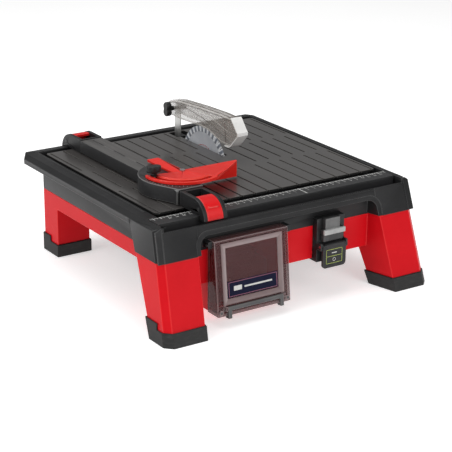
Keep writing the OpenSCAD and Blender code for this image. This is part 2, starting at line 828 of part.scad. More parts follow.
// Point on an involute flank of a gear with base radius rb, at rolling angle t
function involute(rb, t) = rb * [cos(t) + t * PI / 180 * sin(t), sin(t) - t * PI / 180 * cos(t)];
function roll_at(rb, r) = r <= rb ? 0 : sqrt(pow(r / rb, 2) - 1) * 180 / PI;
function polar(p) = [norm(p), atan2(p[1], p[0])];
function flank(teeth, m, slack) = let (rp = m * teeth / 2, rb = rp * cos(20), ra = rp + 0.85 * m,
    rr = max(rb, rp - 0.9 * m), half = 90 / teeth - slack / rp * 90 / PI,
    offset = polar(involute(rb, roll_at(rb, rp)))[1])
    [for (r = [rr, rp, ra]) let (q = polar(involute(rb, roll_at(rb, r)))) [r, half - (q[1] - offset)]];

module gear_outline(teeth, m) {
    side = flank(teeth, m, 0.12);
    root = m * teeth / 2 - 1.25 * m;
    angle = 360 / teeth;
    points = [for (i = [0 : teeth - 1]) each concat(
        [root * [cos(i * angle - side[0][1] - 1), sin(i * angle - side[0][1] - 1)]],
        [for (k = [0 : 2]) side[k][0] * [cos(i * angle - side[k][1]), sin(i * angle - side[k][1])]],
        [for (k = [2 : -1 : 0]) side[k][0] * [cos(i * angle + side[k][1]), sin(i * angle + side[k][1])]],
        [root * [cos(i * angle + side[0][1] + 1), sin(i * angle + side[0][1] + 1)]])];
    polygon(points);
}

module driven_gear() {
    color(steel) at_tray() difference() {
        side_form(gear_x, gear_x + gear_b) translate([blade_y, blade_z]) rotate(mesh_angle)
            gear_outline(gear_teeth, gear_m);
        x_rod(gear_x - 1, gear_x + gear_b + 1, blade_y, blade_z, spindle_r);
        for (a = [0 : 60 : 300])
            translate([0, blade_y, blade_z]) rotate([a, 0, 0]) x_rod(gear_x - 1, gear_x + 10, 0, 10.3, 2);
    }
}

module drive_pinion() {
    color(steel) at_tray() difference() {
        side_form(gear_x + 0.5, gear_x + gear_b - 0.5) translate([rotor_y, rotor_z])
            rotate(mesh_angle - 180 + 180 / pinion_teeth) gear_outline(pinion_teeth, gear_m);
        x_rod(gear_x - 1, gear_x + gear_b + 1, rotor_y, rotor_z, tail_r - 0.5);
    }
}

module spindle() {
    color(steel) at_tray() {
        x_rod(case_x0 - small_brg[1] + 0.3, case_x0 + 1, blade_y, blade_z, tail_r);
        x_rod(case_x0 + 1, case_x0 + 2.5, blade_y, blade_z, spindle_r + 1.5);
        x_rod(case_x0 + 2.5, blade_x + 13, blade_y, blade_z, spindle_r);
    }
}

module flange(x0, x1, r, bore) {
    difference() {
        x_rod(x0, x1, blade_y, blade_z, r);
        x_rod(x0 - 1, x1 + 1, blade_y, blade_z, bore);
    }
}

module inner_flange() {
    color(steel) at_tray() {
        flange(hub_x, blade_x - blade_t / 2 - 5, 10, spindle_r);
        flange(blade_x - blade_t / 2 - 5, blade_x - blade_t / 2, flange_r, spindle_r);
        flange(blade_x - blade_t / 2, blade_x + blade_t / 2 + 1, 11.1, spindle_r);
    }
}

module blade() {
    color([0.7, 0.75, 0.82]) at_tray() difference() {
        union() {
            x_rod(blade_x - blade_t / 2, blade_x + blade_t / 2, blade_y, blade_z, blade_r - 1);
            flange(blade_x - blade_t / 2 - 0.3, blade_x + blade_t / 2 + 0.3, blade_r, blade_r - 8);
        }
        x_rod(blade_x - 5, blade_x + 5, blade_y, blade_z, 11.12);
        // Angled slots across the turbo rim
        for (a = [0 : 10 : 350])
            translate([blade_x, blade_y, blade_z]) rotate([a, 0, 0]) rotate([0, 0, 25])
                block([-3, -0.5, blade_r - 7], [3, 0.5, blade_r + 1]);
    }
}

module outer_flange() {
    color(steel) at_tray() difference() {
        flange(blade_x + blade_t / 2, blade_x + blade_t / 2 + 4.5, flange_r, spindle_r);
        flange(blade_x, blade_x + blade_t / 2 + 1.1, 11.3, spindle_r - 1);
    }
}

module flange_nut() {
    x0 = blade_x + blade_t / 2 + 4.5;
    color(steel) at_tray() difference() {
        translate([x0, blade_y, blade_z]) rotate([0, 90, 0]) cylinder(h = 6, r = 9.2, $fn = 6);
        x_rod(x0 - 1, x0 + 8, blade_y, blade_z, spindle_r);
    }
}

module rotor_shaft() {
    color(steel) at_tray() {
        x_rod(can_x0 + 2.3, can_x0 + 8, rotor_y, rotor_z, 3);
        x_rod(can_x0 + 8, gear_x - 2, rotor_y, rotor_z, tail_r);
        x_rod(gear_x - 2, gear_x + gear_b - 0.5, rotor_y, rotor_z, tail_r - 0.5);
    }
}

module armature() {
    x0 = can_x0 + 20;
    color([0.6, 0.35, 0.2]) at_tray() difference() {
        x_rod(x0, x0 + 32, rotor_y, rotor_z, can_r - 4);
        x_rod(x0 - 1, x0 + 33, rotor_y, rotor_z, tail_r);
        for (a = [0 : 30 : 330])
            translate([0, rotor_y, rotor_z]) rotate([a, 0, 0])
                block([x0 - 1, -1, can_r - 9], [x0 + 33, 1, can_r]);
    }
}

module motor_fan() {
    x0 = cover_x - 14;
    color([0.2, 0.2, 0.2]) at_tray() difference() {
        union() {
            x_rod(x0, x0 + 9, rotor_y, rotor_z, 6);
            x_rod(x0, x0 + 1.5, rotor_y, rotor_z, can_r - 3.5);
            for (a = [0 : 45 : 315])
                translate([0, rotor_y, rotor_z]) rotate([a, 0, 0])
                    block([x0 + 1, -0.75, 4], [x0 + 9, 0.75, can_r - 3.5]);
        }
        x_rod(x0 - 1, x0 + 10, rotor_y, rotor_z, tail_r);
    }
}

// ---- Blade surround ----

module splash_shroud() {
    color(black) at_tray() difference() {
        union() {
            block([shroud[0], shroud_y[0], shroud_z],
                [shroud[1], shroud_y[1], deck_z - deck_t - seat / 2]);
            // Flange that the water tank hangs under
            block([tank_x[0] - 3, tank_y[0] - 3, shroud_z], [tank_x[1] + 3, tank_y[1], shroud_z + 2]);
        }
        block([shroud[0] + 2, shroud_y[0] + 2, shroud_z - 1], [shroud[1] - 2, shroud_y[1] - 2, 0]);
        x_rod(shroud[0] - 1, shroud[0] + 3, blade_y, blade_z, 12.5);
    }
}

module knife_bracket() {
    x0 = blade_x + knife_t / 2;
    color([0.12, 0.12, 0.12]) at_tray() difference() {
        union() {
            block([x0, knife_y[0] - 2, -44], [x0 + 8, knife_y[1] + 1, -1]);
            block([x0, knife_y[0] - 2, -44], [shroud[1] - 2, knife_y[1] + 1, -34]);
        }
        for (z = [-16, -30])
            x_rod(x0 - 1, x0 + 6, (knife_y[0] + knife_y[1]) / 2, z, 2);
    }
}

module riving_knife() {
    y0 = knife_y[0];
    y1 = knife_y[1];
    color([0.72, 0.72, 0.7]) at_tray() difference() {
        side_form(blade_x - knife_t / 2, blade_x + knife_t / 2) polygon([
            [y0 + 3, -42], [y1 + 1, -42], [y1 + 1, pivot_z - 14], [y1 - 1, pivot_z], [y1 - 2, pivot_z + 6],
            [y0 + 3, pivot_z + 6], [y0, pivot_z], [y0, 2], [y0 + 3, -8]]);
        x_rod(blade_x - 3, blade_x + 3, pivot_y, pivot_z, bolt_r + 0.05);
        for (z = [-16, -30])
            x_rod(blade_x - 3, blade_x + 3, (y0 + y1) / 2, z, 2);
    }
}

module knife_screws() {
    color(steel) at_tray() for (z = [-16, -30]) {
        x_rod(blade_x - knife_t / 2, blade_x + 5, (knife_y[0] + knife_y[1]) / 2, z, 2 - run);
        x_rod(blade_x - knife_t / 2 - 2.4, blade_x - knife_t / 2, (knife_y[0] + knife_y[1]) / 2, z, 3.5);
    }
}

module housing_screws() {
    color(steel) at_tray() screw_places() {
        translate([0, 0, side_beam_z - 2.6]) cylinder(h = 2.6, r = 4);
        translate([0, 0, side_beam_z]) cylinder(h = 20, r = 2 - run);
    }
}

// Hood outline above the blade, with round corners, shrunk by inset
module guard_outline(inset) {
    offset(r = 4) offset(delta = -4 - inset) polygon([
        [pivot_y + 12, pivot_z - 4], [pivot_y + 12, pivot_z + 9], [pivot_y - 14, pivot_z + 14],
        [blade_y - 1, pivot_z + 18], [blade_y - 52, pivot_z + 20], [blade_y - 80, pivot_z + 19.5],
        [blade_y - 95, pivot_z + 3], [blade_y - 93, pivot_z - 3], [blade_y - 77, pivot_z - 19.5],
        [blade_y - 55, pivot_z - 20], [blade_y - 37, pivot_z - 14.5], [blade_y - 20, pivot_z - 10],
        [blade_y - 1, pivot_z - 9], [pivot_y - 19, pivot_z - 12], [pivot_y + 7, pivot_z - 11]]);
}

module guard_hood() {
    color([0.8, 0.78, 0.75, 0.4]) at_tray() difference() {
        side_form(guard_x[0], guard_x[1]) guard_outline(0);
        side_form(guard_x[0] + guard_t, guard_x[1] - guard_t) guard_outline(guard_t);
        // Open underside
        side_form(guard_x[0] + guard_t, guard_x[1] - guard_t) polygon([
            [blade_y - 74, pivot_z - 14], [blade_y - 74, pivot_z - 45], [pivot_y + 30, pivot_z - 45],
            [pivot_y + 30, pivot_z + 6], [pivot_y + 7, pivot_z + 6], [pivot_y - 19, pivot_z - 8],
            [blade_y - 1, pivot_z - 5], [blade_y - 20, pivot_z - 6], [blade_y - 37, pivot_z - 10]]);
        x_rod(guard_x[0] - 1, guard_x[1] + 1, pivot_y, pivot_z, bolt_r + 0.05);
    }
}

// Wing knob with its bolt through the guard and the knife
module guard_knob() {
    x0 = guard_x[0] - turn_gap;
    color([0.08, 0.08, 0.08]) at_tray() {
        x_rod(x0 - 5, x0, pivot_y, pivot_z, 5);
        hull() {
            x_rod(x0 - 13, x0 - 5, pivot_y, pivot_z, 5, $fn = 24);
            for (s = [-1, 1])
                translate([x0 - 10, pivot_y, pivot_z + s * 7.5]) sphere(3, $fn = 16);
        }
        x_rod(x0 - 6, guard_x[1] + turn_gap, pivot_y, pivot_z, bolt_r);
        x_rod(guard_x[1] + turn_gap, guard_x[1] + turn_gap + 4, pivot_y, pivot_z, 4.5);
    }
}

// ---- Fence ----

module fence_beam() {
    color(black) at_tray() difference() {
        block([fence_x, head_end + seat, 1.5], [fence_x + fence_w, fence_y1 + 2 - head_end - seat, fence_h]);
        block([fence_x + 2.5, head_end - 1, 0], [fence_x + fence_w - 2.5, fence_y1, fence_h - 2.5]);
        for (y = [head_end + 50 : 60 : fence_y1 - head_end - 20])
            block([fence_x + fence_w / 2 - 0.6, y, fence_h - 0.5],
                [fence_x + fence_w / 2 + 0.6, y + 30, fence_h + 1]);
    }
}

// Side outline of a clamp head, nose towards -Y
module head_outline(hook) {
    nose = 2;
    difference() {
        union() {
            intersection() {
                translate([nose + cheek_r, head_top - cheek_r]) circle(cheek_r);
                translate([nose - 1, -5]) square([cheek_r + 1, head_top + 6]);
            }
            translate([nose + cheek_r, gap]) square([head_end - nose - cheek_r, head_top - gap]);
        }
        translate([nose + hook, -10]) square([60, 10 + gap]);
    }
}

module fence_head(hook) {
    x1 = fence_x + fence_w;
    difference() {
        side_form(fence_x, x1) head_outline(hook);
        block([fence_x + cheek_t, -5, -10], [x1 - cheek_t, 38, 30]);
        block([fence_x + cheek_t, 30, 4], [x1 - cheek_t, head_end - 3, 30]);
        x_rod(fence_x - 1, x1 + 1, lever_y, lever_z, lever_pin_r);
    }
}

module at_rear() {
    translate([0, fence_y1 + 2, 0]) mirror([0, 1, 0]) children();
}

module fence_front_head() {
    color(black) at_tray() fence_head(front_hook);
}

module fence_rear_head() {
    color(black) at_tray() at_rear() fence_head(rear_hook);
}

module lever_pin() {
    x_rod(fence_x + 0.5, fence_x + fence_w - 0.5, lever_y, lever_z, lever_pin_r - 0.03);
}

module lever_pins() {
    color(steel) at_tray() {
        lever_pin();
        at_rear() lever_pin();
    }
}

// Curved handle that fills the gap between the cheeks down to low, on a hub round the pin
module lever(low) {
    x0 = fence_x + cheek_t + turn_gap;
    x1 = fence_x + fence_w - cheek_t - turn_gap;
    centre = [28, head_top - cheek_r];
    difference() {
        union() {
            side_form(x0, x1) intersection() {
                difference() {
                    translate(centre) circle(cheek_r - 0.4);
                    translate(centre) circle(cheek_r - 4.4);
                }
                translate([0, low]) square([32, 30]);
            }
            x_rod(x0, x1, lever_y, lever_z, 4.6);
            side_form(x0 + 5, x1 - 5) polygon([
                [lever_y - 4, lever_z], [lever_y + 3, lever_z + 3], [lever_y + 6, 17], [lever_y - 9, 11]]);
        }
        x_rod(x0 - 1, x1 + 1, lever_y, lever_z, lever_pin_r + 0.05);
    }
}

module front_lever() {
    color(red) at_tray() lever(-5);
}

module rear_lever() {
    color(red) at_tray() at_rear() lever(2 * gap);
}

// Pads that grip the ruler rail at the front and the rim at the rear
module front_shoe() {
    x0 = fence_x + cheek_t + 1;
    x1 = fence_x + fence_w - cheek_t - 1;
    color([0.3, 0.3, 0.3]) at_tray()
        block([x0, rail_y0 - turn_gap - shoe_t, -8], [x1, rail_y0 - turn_gap, 2.5]);
}

module rear_shoe() {
    x0 = fence_x + cheek_t + 1;
    x1 = fence_x + fence_w - cheek_t - 1;
    color([0.3, 0.3, 0.3]) at_tray() block([x0, tray_d + turn_gap, -6], [x1, tray_d + turn_gap + 2, -0.5]);
}

// ---- Mitre gauge ----

// The base hugs the fence: a round drum to its left, a plate over it and a small boss to its right
module mitre_base() {
    drum_x = fence_x - gap;
    color([0.14, 0.14, 0.15]) at_tray() difference() {
        union() {
            difference() {
                flat_form(1.2, gauge_z + gauge_t) base_outline(0);
                flat_form(0, gauge_z - 1) base_outline(-3);
                block([drum_x, 0, 0], [fence_x + fence_w + 100, 300, gauge_z]);
            }
            block([drum_x - 3, head_end + 3, 1.2], [drum_x, gauge[1] + 40, gauge_z]);
            intersection() {
                z_rod(3, gauge_z + gauge_t, gauge[0], gauge[1], 8);
                block([fence_x + fence_w + gap, 0, 0], [300, 300, 60]);
            }
            intersection() {
                z_rod(3, gauge_z, gauge[0] - slot_r, gauge[1], 6);
                block([0, 0, 0], [drum_x, 300, 60]);
            }
        }
        z_rod(4, 60, gauge[0], gauge[1], 2.5);
        z_rod(6, 60, gauge[0] - slot_r, gauge[1], 2.6);
    }
}

module base_outline(grow) {
    intersection() {
        hull() {
            translate(gauge) circle(gauge_r + grow, $fn = 72);
            translate([fence_x - grow, head_end + 3 - grow]) square([30, 10]);
        }
        translate([0, head_end + 3 - grow]) square([fence_x + fence_w + 1 + grow, 200]);
    }
}

module mitre_pivot_screw() {
    color(steel) at_tray() {
        z_rod(5, head_z + head_t + 0.2, gauge[0], gauge[1], 2.5 - 0.05);
        z_rod(head_z + head_t + 0.2, head_z + head_t + 1.6, gauge[0], gauge[1], 3.6);
    }
}

// Ring sector in the plane, from angle a0 to a1
module arc_band(r0, r1, a0, a1) {
    steps = 24;
    polygon(concat(
        [for (i = [0 : steps]) r1 * [cos(a0 + (a1 - a0) * i / steps), sin(a0 + (a1 - a0) * i / steps)]],
        [for (i = [steps : -1 : 0]) r0 * [cos(a0 + (a1 - a0) * i / steps), sin(a0 + (a1 - a0) * i / steps)]]));
}

// Head outline about the pivot: arc sector, arm along the fence and tapering arm across the table
module head_form() {
    arc_band(0.1, gauge_r - 6, 172, 300);
    polygon([[-14, 0], [-14, arm_y], [3, arm_y], [3, 3], [arm_x, 3], [arm_x, 0], [26, -45], [0, -20]]);
}

module mitre_head() {
    z1 = head_z + head_t;
    color(red) at_tray() translate([gauge[0], gauge[1], 0]) difference() {
        union() {
            flat_form(head_z, z1) head_form();
            block([10, 0, 2], [arm_x, 3, head_z + 0.1]);
            block([0.3, 12, 2], [3, arm_y, head_z + 0.1]);
            flat_form(z1 - 0.1, z1 + 1) arc_band(gauge_r - 9.5, gauge_r - 6, 172, 300);
            flat_form(z1 - 0.1, z1 + 1) arc_band(slot_r - 7, slot_r - 4.5, 172, 300);
        }
        flat_form(0, 60) arc_band(slot_r - 3, slot_r + 3, 174, 298);
        z_rod(0, 60, 0, 0, 2.5 + 0.05);
    }
}

module mitre_knob() {
    z1 = head_z + head_t + 1.4;
    color([0.1, 0.1, 0.1]) at_tray() translate([gauge[0] - slot_r, gauge[1], 0]) {
        z_rod(7, z1, 0, 0, 2.5);
        z_rod(z1, z1 + 5, 0, 0, 5);
        flat_form(z1 + 5, z1 + 12) difference() {
            circle(10.5);
            for (s = [-1, 1]) translate([0, s * 14]) circle(9);
        }
    }
}

// ---- Water tank ----

module water_tank() {
    z0 = tank_top - tank_h;
    color([0.13, 0.13, 0.14]) at_tray() difference() {
        union() {
            block([tank_x[0], tank_y[0], z0], [tank_x[1], tank_y[1], tank_top]);
            block([tank_x[0] - 3, tank_y[0] - 3, tank_top - 2.5], [tank_x[1] + 3, tank_y[1], tank_top]);
        }
        block([tank_x[0] + tank_wall, tank_y[0] + tank_wall, z0 + tank_wall],
            [tank_x[1] - tank_wall, tank_y[1] - tank_wall, 0]);
        z_rod(z0 - 1, z0 + 5, plug_at[0], plug_at[1], 5);
    }
}

module drain_plug() {
    z0 = tank_top - tank_h;
    color([0.06, 0.06, 0.06]) at_tray() {
        z_rod(z0 - 0.5, z0 + tank_wall + 1, plug_at[0], plug_at[1], 5 - 0.05);
        z_rod(z0 - 3, z0 - 0.5, plug_at[0], plug_at[1], 8);
    }
}

top_housing();
base_frame();
foot_front_left();
foot_front_right();
foot_rear_left();
foot_rear_right();
table_plate();
front_ruler();
rear_ruler();
battery_bay();
battery_pack();
battery_terminals();
hatch_pins();
switch_box();
switch_bezel();
control_board();
wiring_loom();
motor_can();
motor_cover();
gear_case();
gear_cover();
spindle_bearings();
rotor_bearings();
shaft_seal();
splash_shroud();
knife_bracket();
riving_knife();
knife_screws();
housing_screws();
spindle();
driven_gear();
inner_flange();
blade();
outer_flange();
flange_nut();
rotor_shaft();
armature();
drive_pinion();
motor_fan();
guard_hood();
guard_knob();
fence_beam();
fence_front_head();
fence_rear_head();
lever_pins();
front_lever();
rear_lever();
front_shoe();
rear_shoe();
mitre_base();
mitre_pivot_screw();
mitre_head();
mitre_knob();
hatch_window();
hatch_latch();
switch_paddle();
paddle_pins();
water_tank();
drain_plug();
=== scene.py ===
import json
import math

import bmesh
import bpy
from mathutils import Matrix, Vector


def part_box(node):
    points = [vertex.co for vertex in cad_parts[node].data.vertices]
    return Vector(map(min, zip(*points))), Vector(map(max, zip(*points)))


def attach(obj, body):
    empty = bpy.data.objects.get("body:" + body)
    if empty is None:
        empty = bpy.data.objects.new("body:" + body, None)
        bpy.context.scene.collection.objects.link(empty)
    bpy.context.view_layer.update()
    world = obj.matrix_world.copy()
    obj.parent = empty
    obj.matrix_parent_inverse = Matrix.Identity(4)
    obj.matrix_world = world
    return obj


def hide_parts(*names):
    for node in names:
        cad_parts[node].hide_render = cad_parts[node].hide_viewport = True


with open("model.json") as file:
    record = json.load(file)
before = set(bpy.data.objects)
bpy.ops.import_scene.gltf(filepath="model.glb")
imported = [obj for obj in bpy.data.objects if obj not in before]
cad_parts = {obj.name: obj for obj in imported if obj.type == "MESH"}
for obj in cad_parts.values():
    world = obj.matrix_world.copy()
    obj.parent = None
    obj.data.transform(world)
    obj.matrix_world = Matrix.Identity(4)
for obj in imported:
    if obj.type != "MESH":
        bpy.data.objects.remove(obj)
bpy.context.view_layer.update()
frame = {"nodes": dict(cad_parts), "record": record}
MM = 0.001


# ---- Upper housing ----
# The tray with its rim, gutters and apron, and the upper half of each leg. It is one injection moulding in
# charcoal plastic with a fine spark-eroded grain; its bevelled edges are painted lighter, a painted
# highlight.
PLATE_IN = Vector((31.5, 52, -3)) * MM
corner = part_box("table_plate")[0] - PLATE_IN


def at(x, y, z):
    """A point in millimetres right of, behind and above the rim's front left corner."""
    return corner + Vector((x, y, z)) * MM


class Shade:
    """A socket in a material, with arithmetic that adds Math nodes."""

    def __init__(self, tree, socket=None):
        self.tree = tree
        self.socket = socket

    def node(self, kind, sockets=None, out=0, **settings):
        made = self.tree.nodes.new(kind)
        for key, value in settings.items():
            setattr(made, key, value)
        for key, value in (sockets or {}).items():
            if isinstance(value, Shade):
                self.tree.links.new(value.socket, made.inputs[key])
            else:
                made.inputs[key].default_value = value
        return Shade(self.tree, made.outputs[out])

    def math(self, operation, *values):
        return self.node("ShaderNodeMath", dict(enumerate(values)), operation=operation)

    def __add__(self, other):
        return self.math("ADD", self, other)

    def __radd__(self, other):
        return self.math("ADD", other, self)

    def __sub__(self, other):
        return self.math("SUBTRACT", self, other)

    def __rsub__(self, other):
        return self.math("SUBTRACT", other, self)

    def __mul__(self, other):
        return self.math("MULTIPLY", self, other)

    def __rmul__(self, other):
        return self.math("MULTIPLY", other, self)

    def __mod__(self, other):
        return self.math("FLOORED_MODULO", self, other)

    def __lt__(self, other):
        return self.math("LESS_THAN", self, other)

    def __gt__(self, other):
        return self.math("GREATER_THAN", self, other)

    def __abs__(self):
        return self.math("ABSOLUTE", self)

    def either(self, other):
        return self.math("MAXIMUM", self, other)

    def part(self, axis):
        return self.node("ShaderNodeSeparateXYZ", {0: self}, out=axis)

    def less(self, point):
        return self.node("ShaderNodeVectorMath", {0: self, 1: point}, operation="SUBTRACT")

    def times(self, scales):
        return self.node("ShaderNodeVectorMath", {0: self, 1: scales}, operation="MULTIPLY")

    def noise(self, scale, detail=2.0):
        return self.node("ShaderNodeTexNoise", {"Vector": self, "Scale": scale, "Detail": detail})

    def rise(self, low, high):
        return self.node("ShaderNodeMapRange", {0: self, 1: low, 2: high}, interpolation_type="SMOOTHSTEP")

    def mix(self, low, high):
        """Colour low where this mask is 0 and high where it is 1."""
        low, high = [c if isinstance(c, Shade) else (*c, 1) for c in (low, high)]
        return self.node("ShaderNodeMix", {0: self, 6: low, 7: high}, out=2, data_type="RGBA")

    def bump(self, depth, strength=1.0):
        return self.node("ShaderNodeBump", {"Height": self, "Distance": depth, "Strength": strength}, out=0)


def surface(name, paint, fixed):
    """A material: paint turns the place on the object into linked sockets, and fixed sets the plain ones."""
    made = bpy.data.materials.new(name)
    made.use_nodes = True
    shader = made.node_tree.nodes["Principled BSDF"]
    for socket, value in fixed.items():
        shader.inputs[socket].default_value = value
    place = Shade(made.node_tree).node("ShaderNodeTexCoord", out="Object")
    for socket, value in paint(place).items():
        made.node_tree.links.new(value.socket, shader.inputs[socket])
    return made


def moulded(name, colour, light, rough, grain=0.00004, coat=0.0, gloss=0.22):
    """Moulded plastic: an eroded grain, slow changes of tone, and faint rubbed patches."""

    def paint(place):
        tone = place.noise(22, 4).rise(0.3, 0.75)
        rubbed = place.times((1, 1, 2.5)).noise(75, 5).rise(0.56, 0.8)
        fine = place.noise(1500, 2)
        coarse = place.noise(420, 1)
        return {
            "Base Color": (tone * 0.55 + rubbed * 0.45).mix(colour, light),
            "Roughness": rough + 0.07 * (coarse - 0.5) - 0.06 * rubbed,
            "Normal": (fine * 0.7 + coarse * 0.3).bump(grain),
        }

    return surface(name, paint, {"Coat Weight": coat, "Coat Roughness": 0.25, "Specular IOR Level": gloss})


def keep_mesh(name, work, body, faces, smooth=35):
    """Turns a bmesh into a piece with its finish, riding on its body."""
    mesh = bpy.data.meshes.new(name)
    work.to_mesh(mesh)
    work.free()
    for polygon in mesh.polygons:
        polygon.use_smooth = True
    mesh.set_sharp_from_angle(angle=math.radians(smooth))
    piece = bpy.data.objects.new(name, mesh)
    bpy.context.scene.collection.objects.link(piece)
    for material in faces:
        mesh.materials.append(material)
    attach(piece, body)
    return piece


def apply_modifiers(piece):
    """Bakes the modifiers of a piece into its mesh."""
    bpy.context.view_layer.update()
    graph = bpy.context.evaluated_depsgraph_get()
    baked = piece.evaluated_get(graph)
    done = bpy.data.meshes.new_from_object(baked, preserve_all_data_layers=True, depsgraph=graph)
    piece.modifiers.clear()
    piece.data = done


SHARP_ANGLE = 32
COPLANAR = 0.99999
BODY_OF = {node: body for body, nodes in frame["record"]["behaviour"]["bodies"].items() for node in nodes}


def merge_flats(work):
    """Joins the triangles of each flat face into one face, unless the face has a hole in it."""
    seen = set()
    flats = []
    for start in work.faces:
        if start in seen:
            continue
        seen.add(start)
        flat = [start]
        for face in flat:
            for edge in face.edges:
                for other in edge.link_faces:
                    if other not in seen and face.normal.dot(other.normal) > COPLANAR:
                        seen.add(other)
                        flat.append(other)
        corners = {vert for face in flat for vert in face.verts}
        sides = {edge for face in flat for edge in face.edges}
        if len(flat) > 1 and len(corners) - len(sides) + len(flat) == 1:
            flats.append(flat)
    for flat in flats:
        bmesh.ops.dissolve_faces(work, faces=flat)


def rounded(node, width, face, edge=None, segments=2, flat=False):
    """A copy of a CAD node with its sharp edges rounded, shown in place of the node.

    Set flat for pressed sheet, where each face is shaded flat.
    """
    work = bmesh.new()
    work.from_mesh(frame["nodes"][node].data)
    bmesh.ops.remove_doubles(work, verts=work.verts, dist=0.00001)
    merge_flats(work)
    for layer in list(work.loops.layers.float_vector):
        work.loops.layers.float_vector.remove(layer)
    piece = keep_mesh(node + "_shell", work, BODY_OF[node], [face, edge or face])
    for polygon in piece.data.polygons:
        polygon.material_index = 0
    bevel = piece.modifiers.new("edges", "BEVEL")
    bevel.width = width * MM
    bevel.segments = segments
    bevel.angle_limit = math.radians(SHARP_ANGLE)
    bevel.limit_method = "ANGLE"
    bevel.use_clamp_overlap = False
    bevel.harden_normals = not flat
    bevel.miter_outer = "MITER_ARC"
    bevel.material = 1
    apply_modifiers(piece)
    if flat:
        piece.data.shade_flat()
    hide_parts(node)
    return piece


charcoal = moulded("charcoal_plastic", (0.012, 0.012, 0.0125), (0.021, 0.021, 0.022), 0.4, 0.00005)
# A lighter copy of the charcoal for the bevelled edges: a painted highlight.
charcoal_edge_highlight = moulded("charcoal_edge_highlight", (0.03, 0.03, 0.031), (0.07, 0.07, 0.07), 0.32, 0.00002)
rounded("top_housing", 0.7, charcoal, charcoal_edge_highlight)


def skin(work, rows, capped=True):
    """Adds the faces between neighbouring rings of vertices, and over the first and the last ring."""
    count = len(rows[0])
    for first, second in zip(rows, rows[1:]):
        for k in range(count):
            work.faces.new((first[k], first[(k + 1) % count], second[(k + 1) % count], second[k]))
    if capped:
        work.faces.new(rows[0][::-1])
        work.faces.new(rows[-1])
    bmesh.ops.recalc_face_normals(work, faces=work.faces)


ARC_STEPS = 6


def bar(name, path, width, height, body, face, lift=Vector((0, 0, 1))):
    """A raised bead of half-round section along a path, standing up along lift."""
    work = bmesh.new()
    rows = []
    for i, point in enumerate(path):
        ahead = path[min(i + 1, len(path) - 1)] - path[max(i - 1, 0)]
        side = ahead.cross(lift).normalized() * (width / 2 * MM)
        up = lift.normalized() * (height * MM)
        rows.append([
            work.verts.new(point + side * math.cos(angle) + up * math.sin(angle))
            for angle in [math.pi * k / ARC_STEPS for k in range(ARC_STEPS + 1)]
        ])
    skin(work, rows)
    return keep_mesh(name, work, body, [face])


# A bead runs along the rim on each side, to stiffen it and to hold water back. The left one stops short of
# the fence's heads where they slide over the rim.
BEAD_W = 1.6
BEAD_H = 0.7
# The beads take the lighter edge colour, a painted highlight along each ridge.
for name, x, front, back, z in (("rim_bead_left", 21.5, 62, 312, 0), ("rim_bead_right", 385, 14, 360, -0.1)):
    bar(name, [at(x, front, z), at(x, back, z)], BEAD_W, BEAD_H, "stand", charcoal_edge_highlight)


# ---- Lower frame ----
# The red lower half: beams and four hollow legs in one satin moulding, screwed up into the housing.
red = moulded("red_plastic", (0.57, 0.003, 0.008), (0.64, 0.006, 0.012), 0.42, 0.00003, gloss=0.12)
# A lighter copy of the red for the bevelled edges: a painted highlight.
red_edge_highlight = moulded("red_edge_highlight", (0.66, 0.012, 0.016), (0.72, 0.024, 0.024), 0.32, 0.00001)
rounded("base_frame", 0.9, red, red_edge_highlight)


# ---- Foot caps ----
# Four cups of dark moulded rubber, pushed over the ends of the legs. The rubber is dull and a little dusty.
def paint_rubber(place):
    dust = place.times((1, 1, 3)).noise(110, 5).rise(0.45, 0.8)
    pores = place.noise(900, 3)
    return {
        "Base Color": dust.mix((0.012, 0.012, 0.012), (0.032, 0.031, 0.03)),
        "Roughness": 0.62 + 0.14 * dust,
        "Normal": pores.bump(0.00006),
    }


rubber = surface("foot_rubber", paint_rubber, {"Specular IOR Level": 0.4})
for node in ("foot_front_left", "foot_front_right", "foot_rear_left", "foot_rear_right"):
    rounded(node, 1.1, rubber, segments=3)


# ---- Table plate ----
# A pressed steel plate in warm grey enamel. The enamel is semi-gloss with a slight orange peel and finely
# scratched. The lands' bevelled edges are painted brighter, a painted highlight, and the grooves are painted
# nearly black and made rougher, a painted shade.
def paint_plate(place):
    height = place.part("Z") - corner.z
    # The grooves are painted nearly black below the lands, a painted shade in the recesses.
    groove = 1 - height.rise(-0.0011, -0.0002)
    peel = place.noise(260, 2)
    worn = place.times((1.6, 0.5, 1)).noise(30, 6).rise(0.42, 0.8)
    scratch = place.times((4, 0.4, 1)).noise(160, 3).rise(0.66, 0.72)
    land = (worn * 0.8 + scratch * 0.2).mix((0.048, 0.044, 0.042), (0.068, 0.062, 0.059))
    return {
        "Base Color": groove.mix(land, (0.006, 0.0055, 0.0055)),
        "Roughness": 0.34 + 0.12 * worn + 0.3 * groove - 0.05 * scratch,
        "Normal": (peel + 0.4 * scratch).bump(0.00004),
    }


enamel = surface("plate_enamel", paint_plate, {"Coat Weight": 0.45, "Coat Roughness": 0.14})
# A lighter copy of the enamel for the lands' bevelled edges: a painted highlight.
enamel_edge_highlight = moulded("enamel_edge_highlight", (0.09, 0.085, 0.08), (0.15, 0.14, 0.13), 0.3, 0.00001, 0.2)
rounded("table_plate", 0.25, enamel, enamel_edge_highlight, segments=1, flat=True)


# ---- Rulers ----
# A black rail across the front, on which the fence clamps, and a plain strip let into the rear rim. The rail
# has pale printed ticks each millimetre, five and ten, counted from the blade, with plain numbers.
BLADE_X = sum(c.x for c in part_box("blade")) / 2
rail_low, rail_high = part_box("front_ruler")
TICK_MARGIN = 0.0012
# How far apart each kind of tick is, half its width, and its length
TICKS = ((0.001, 0.00016, 0.0028), (0.005, 0.00035, 0.0044), (0.01, 0.00045, 0.0062))


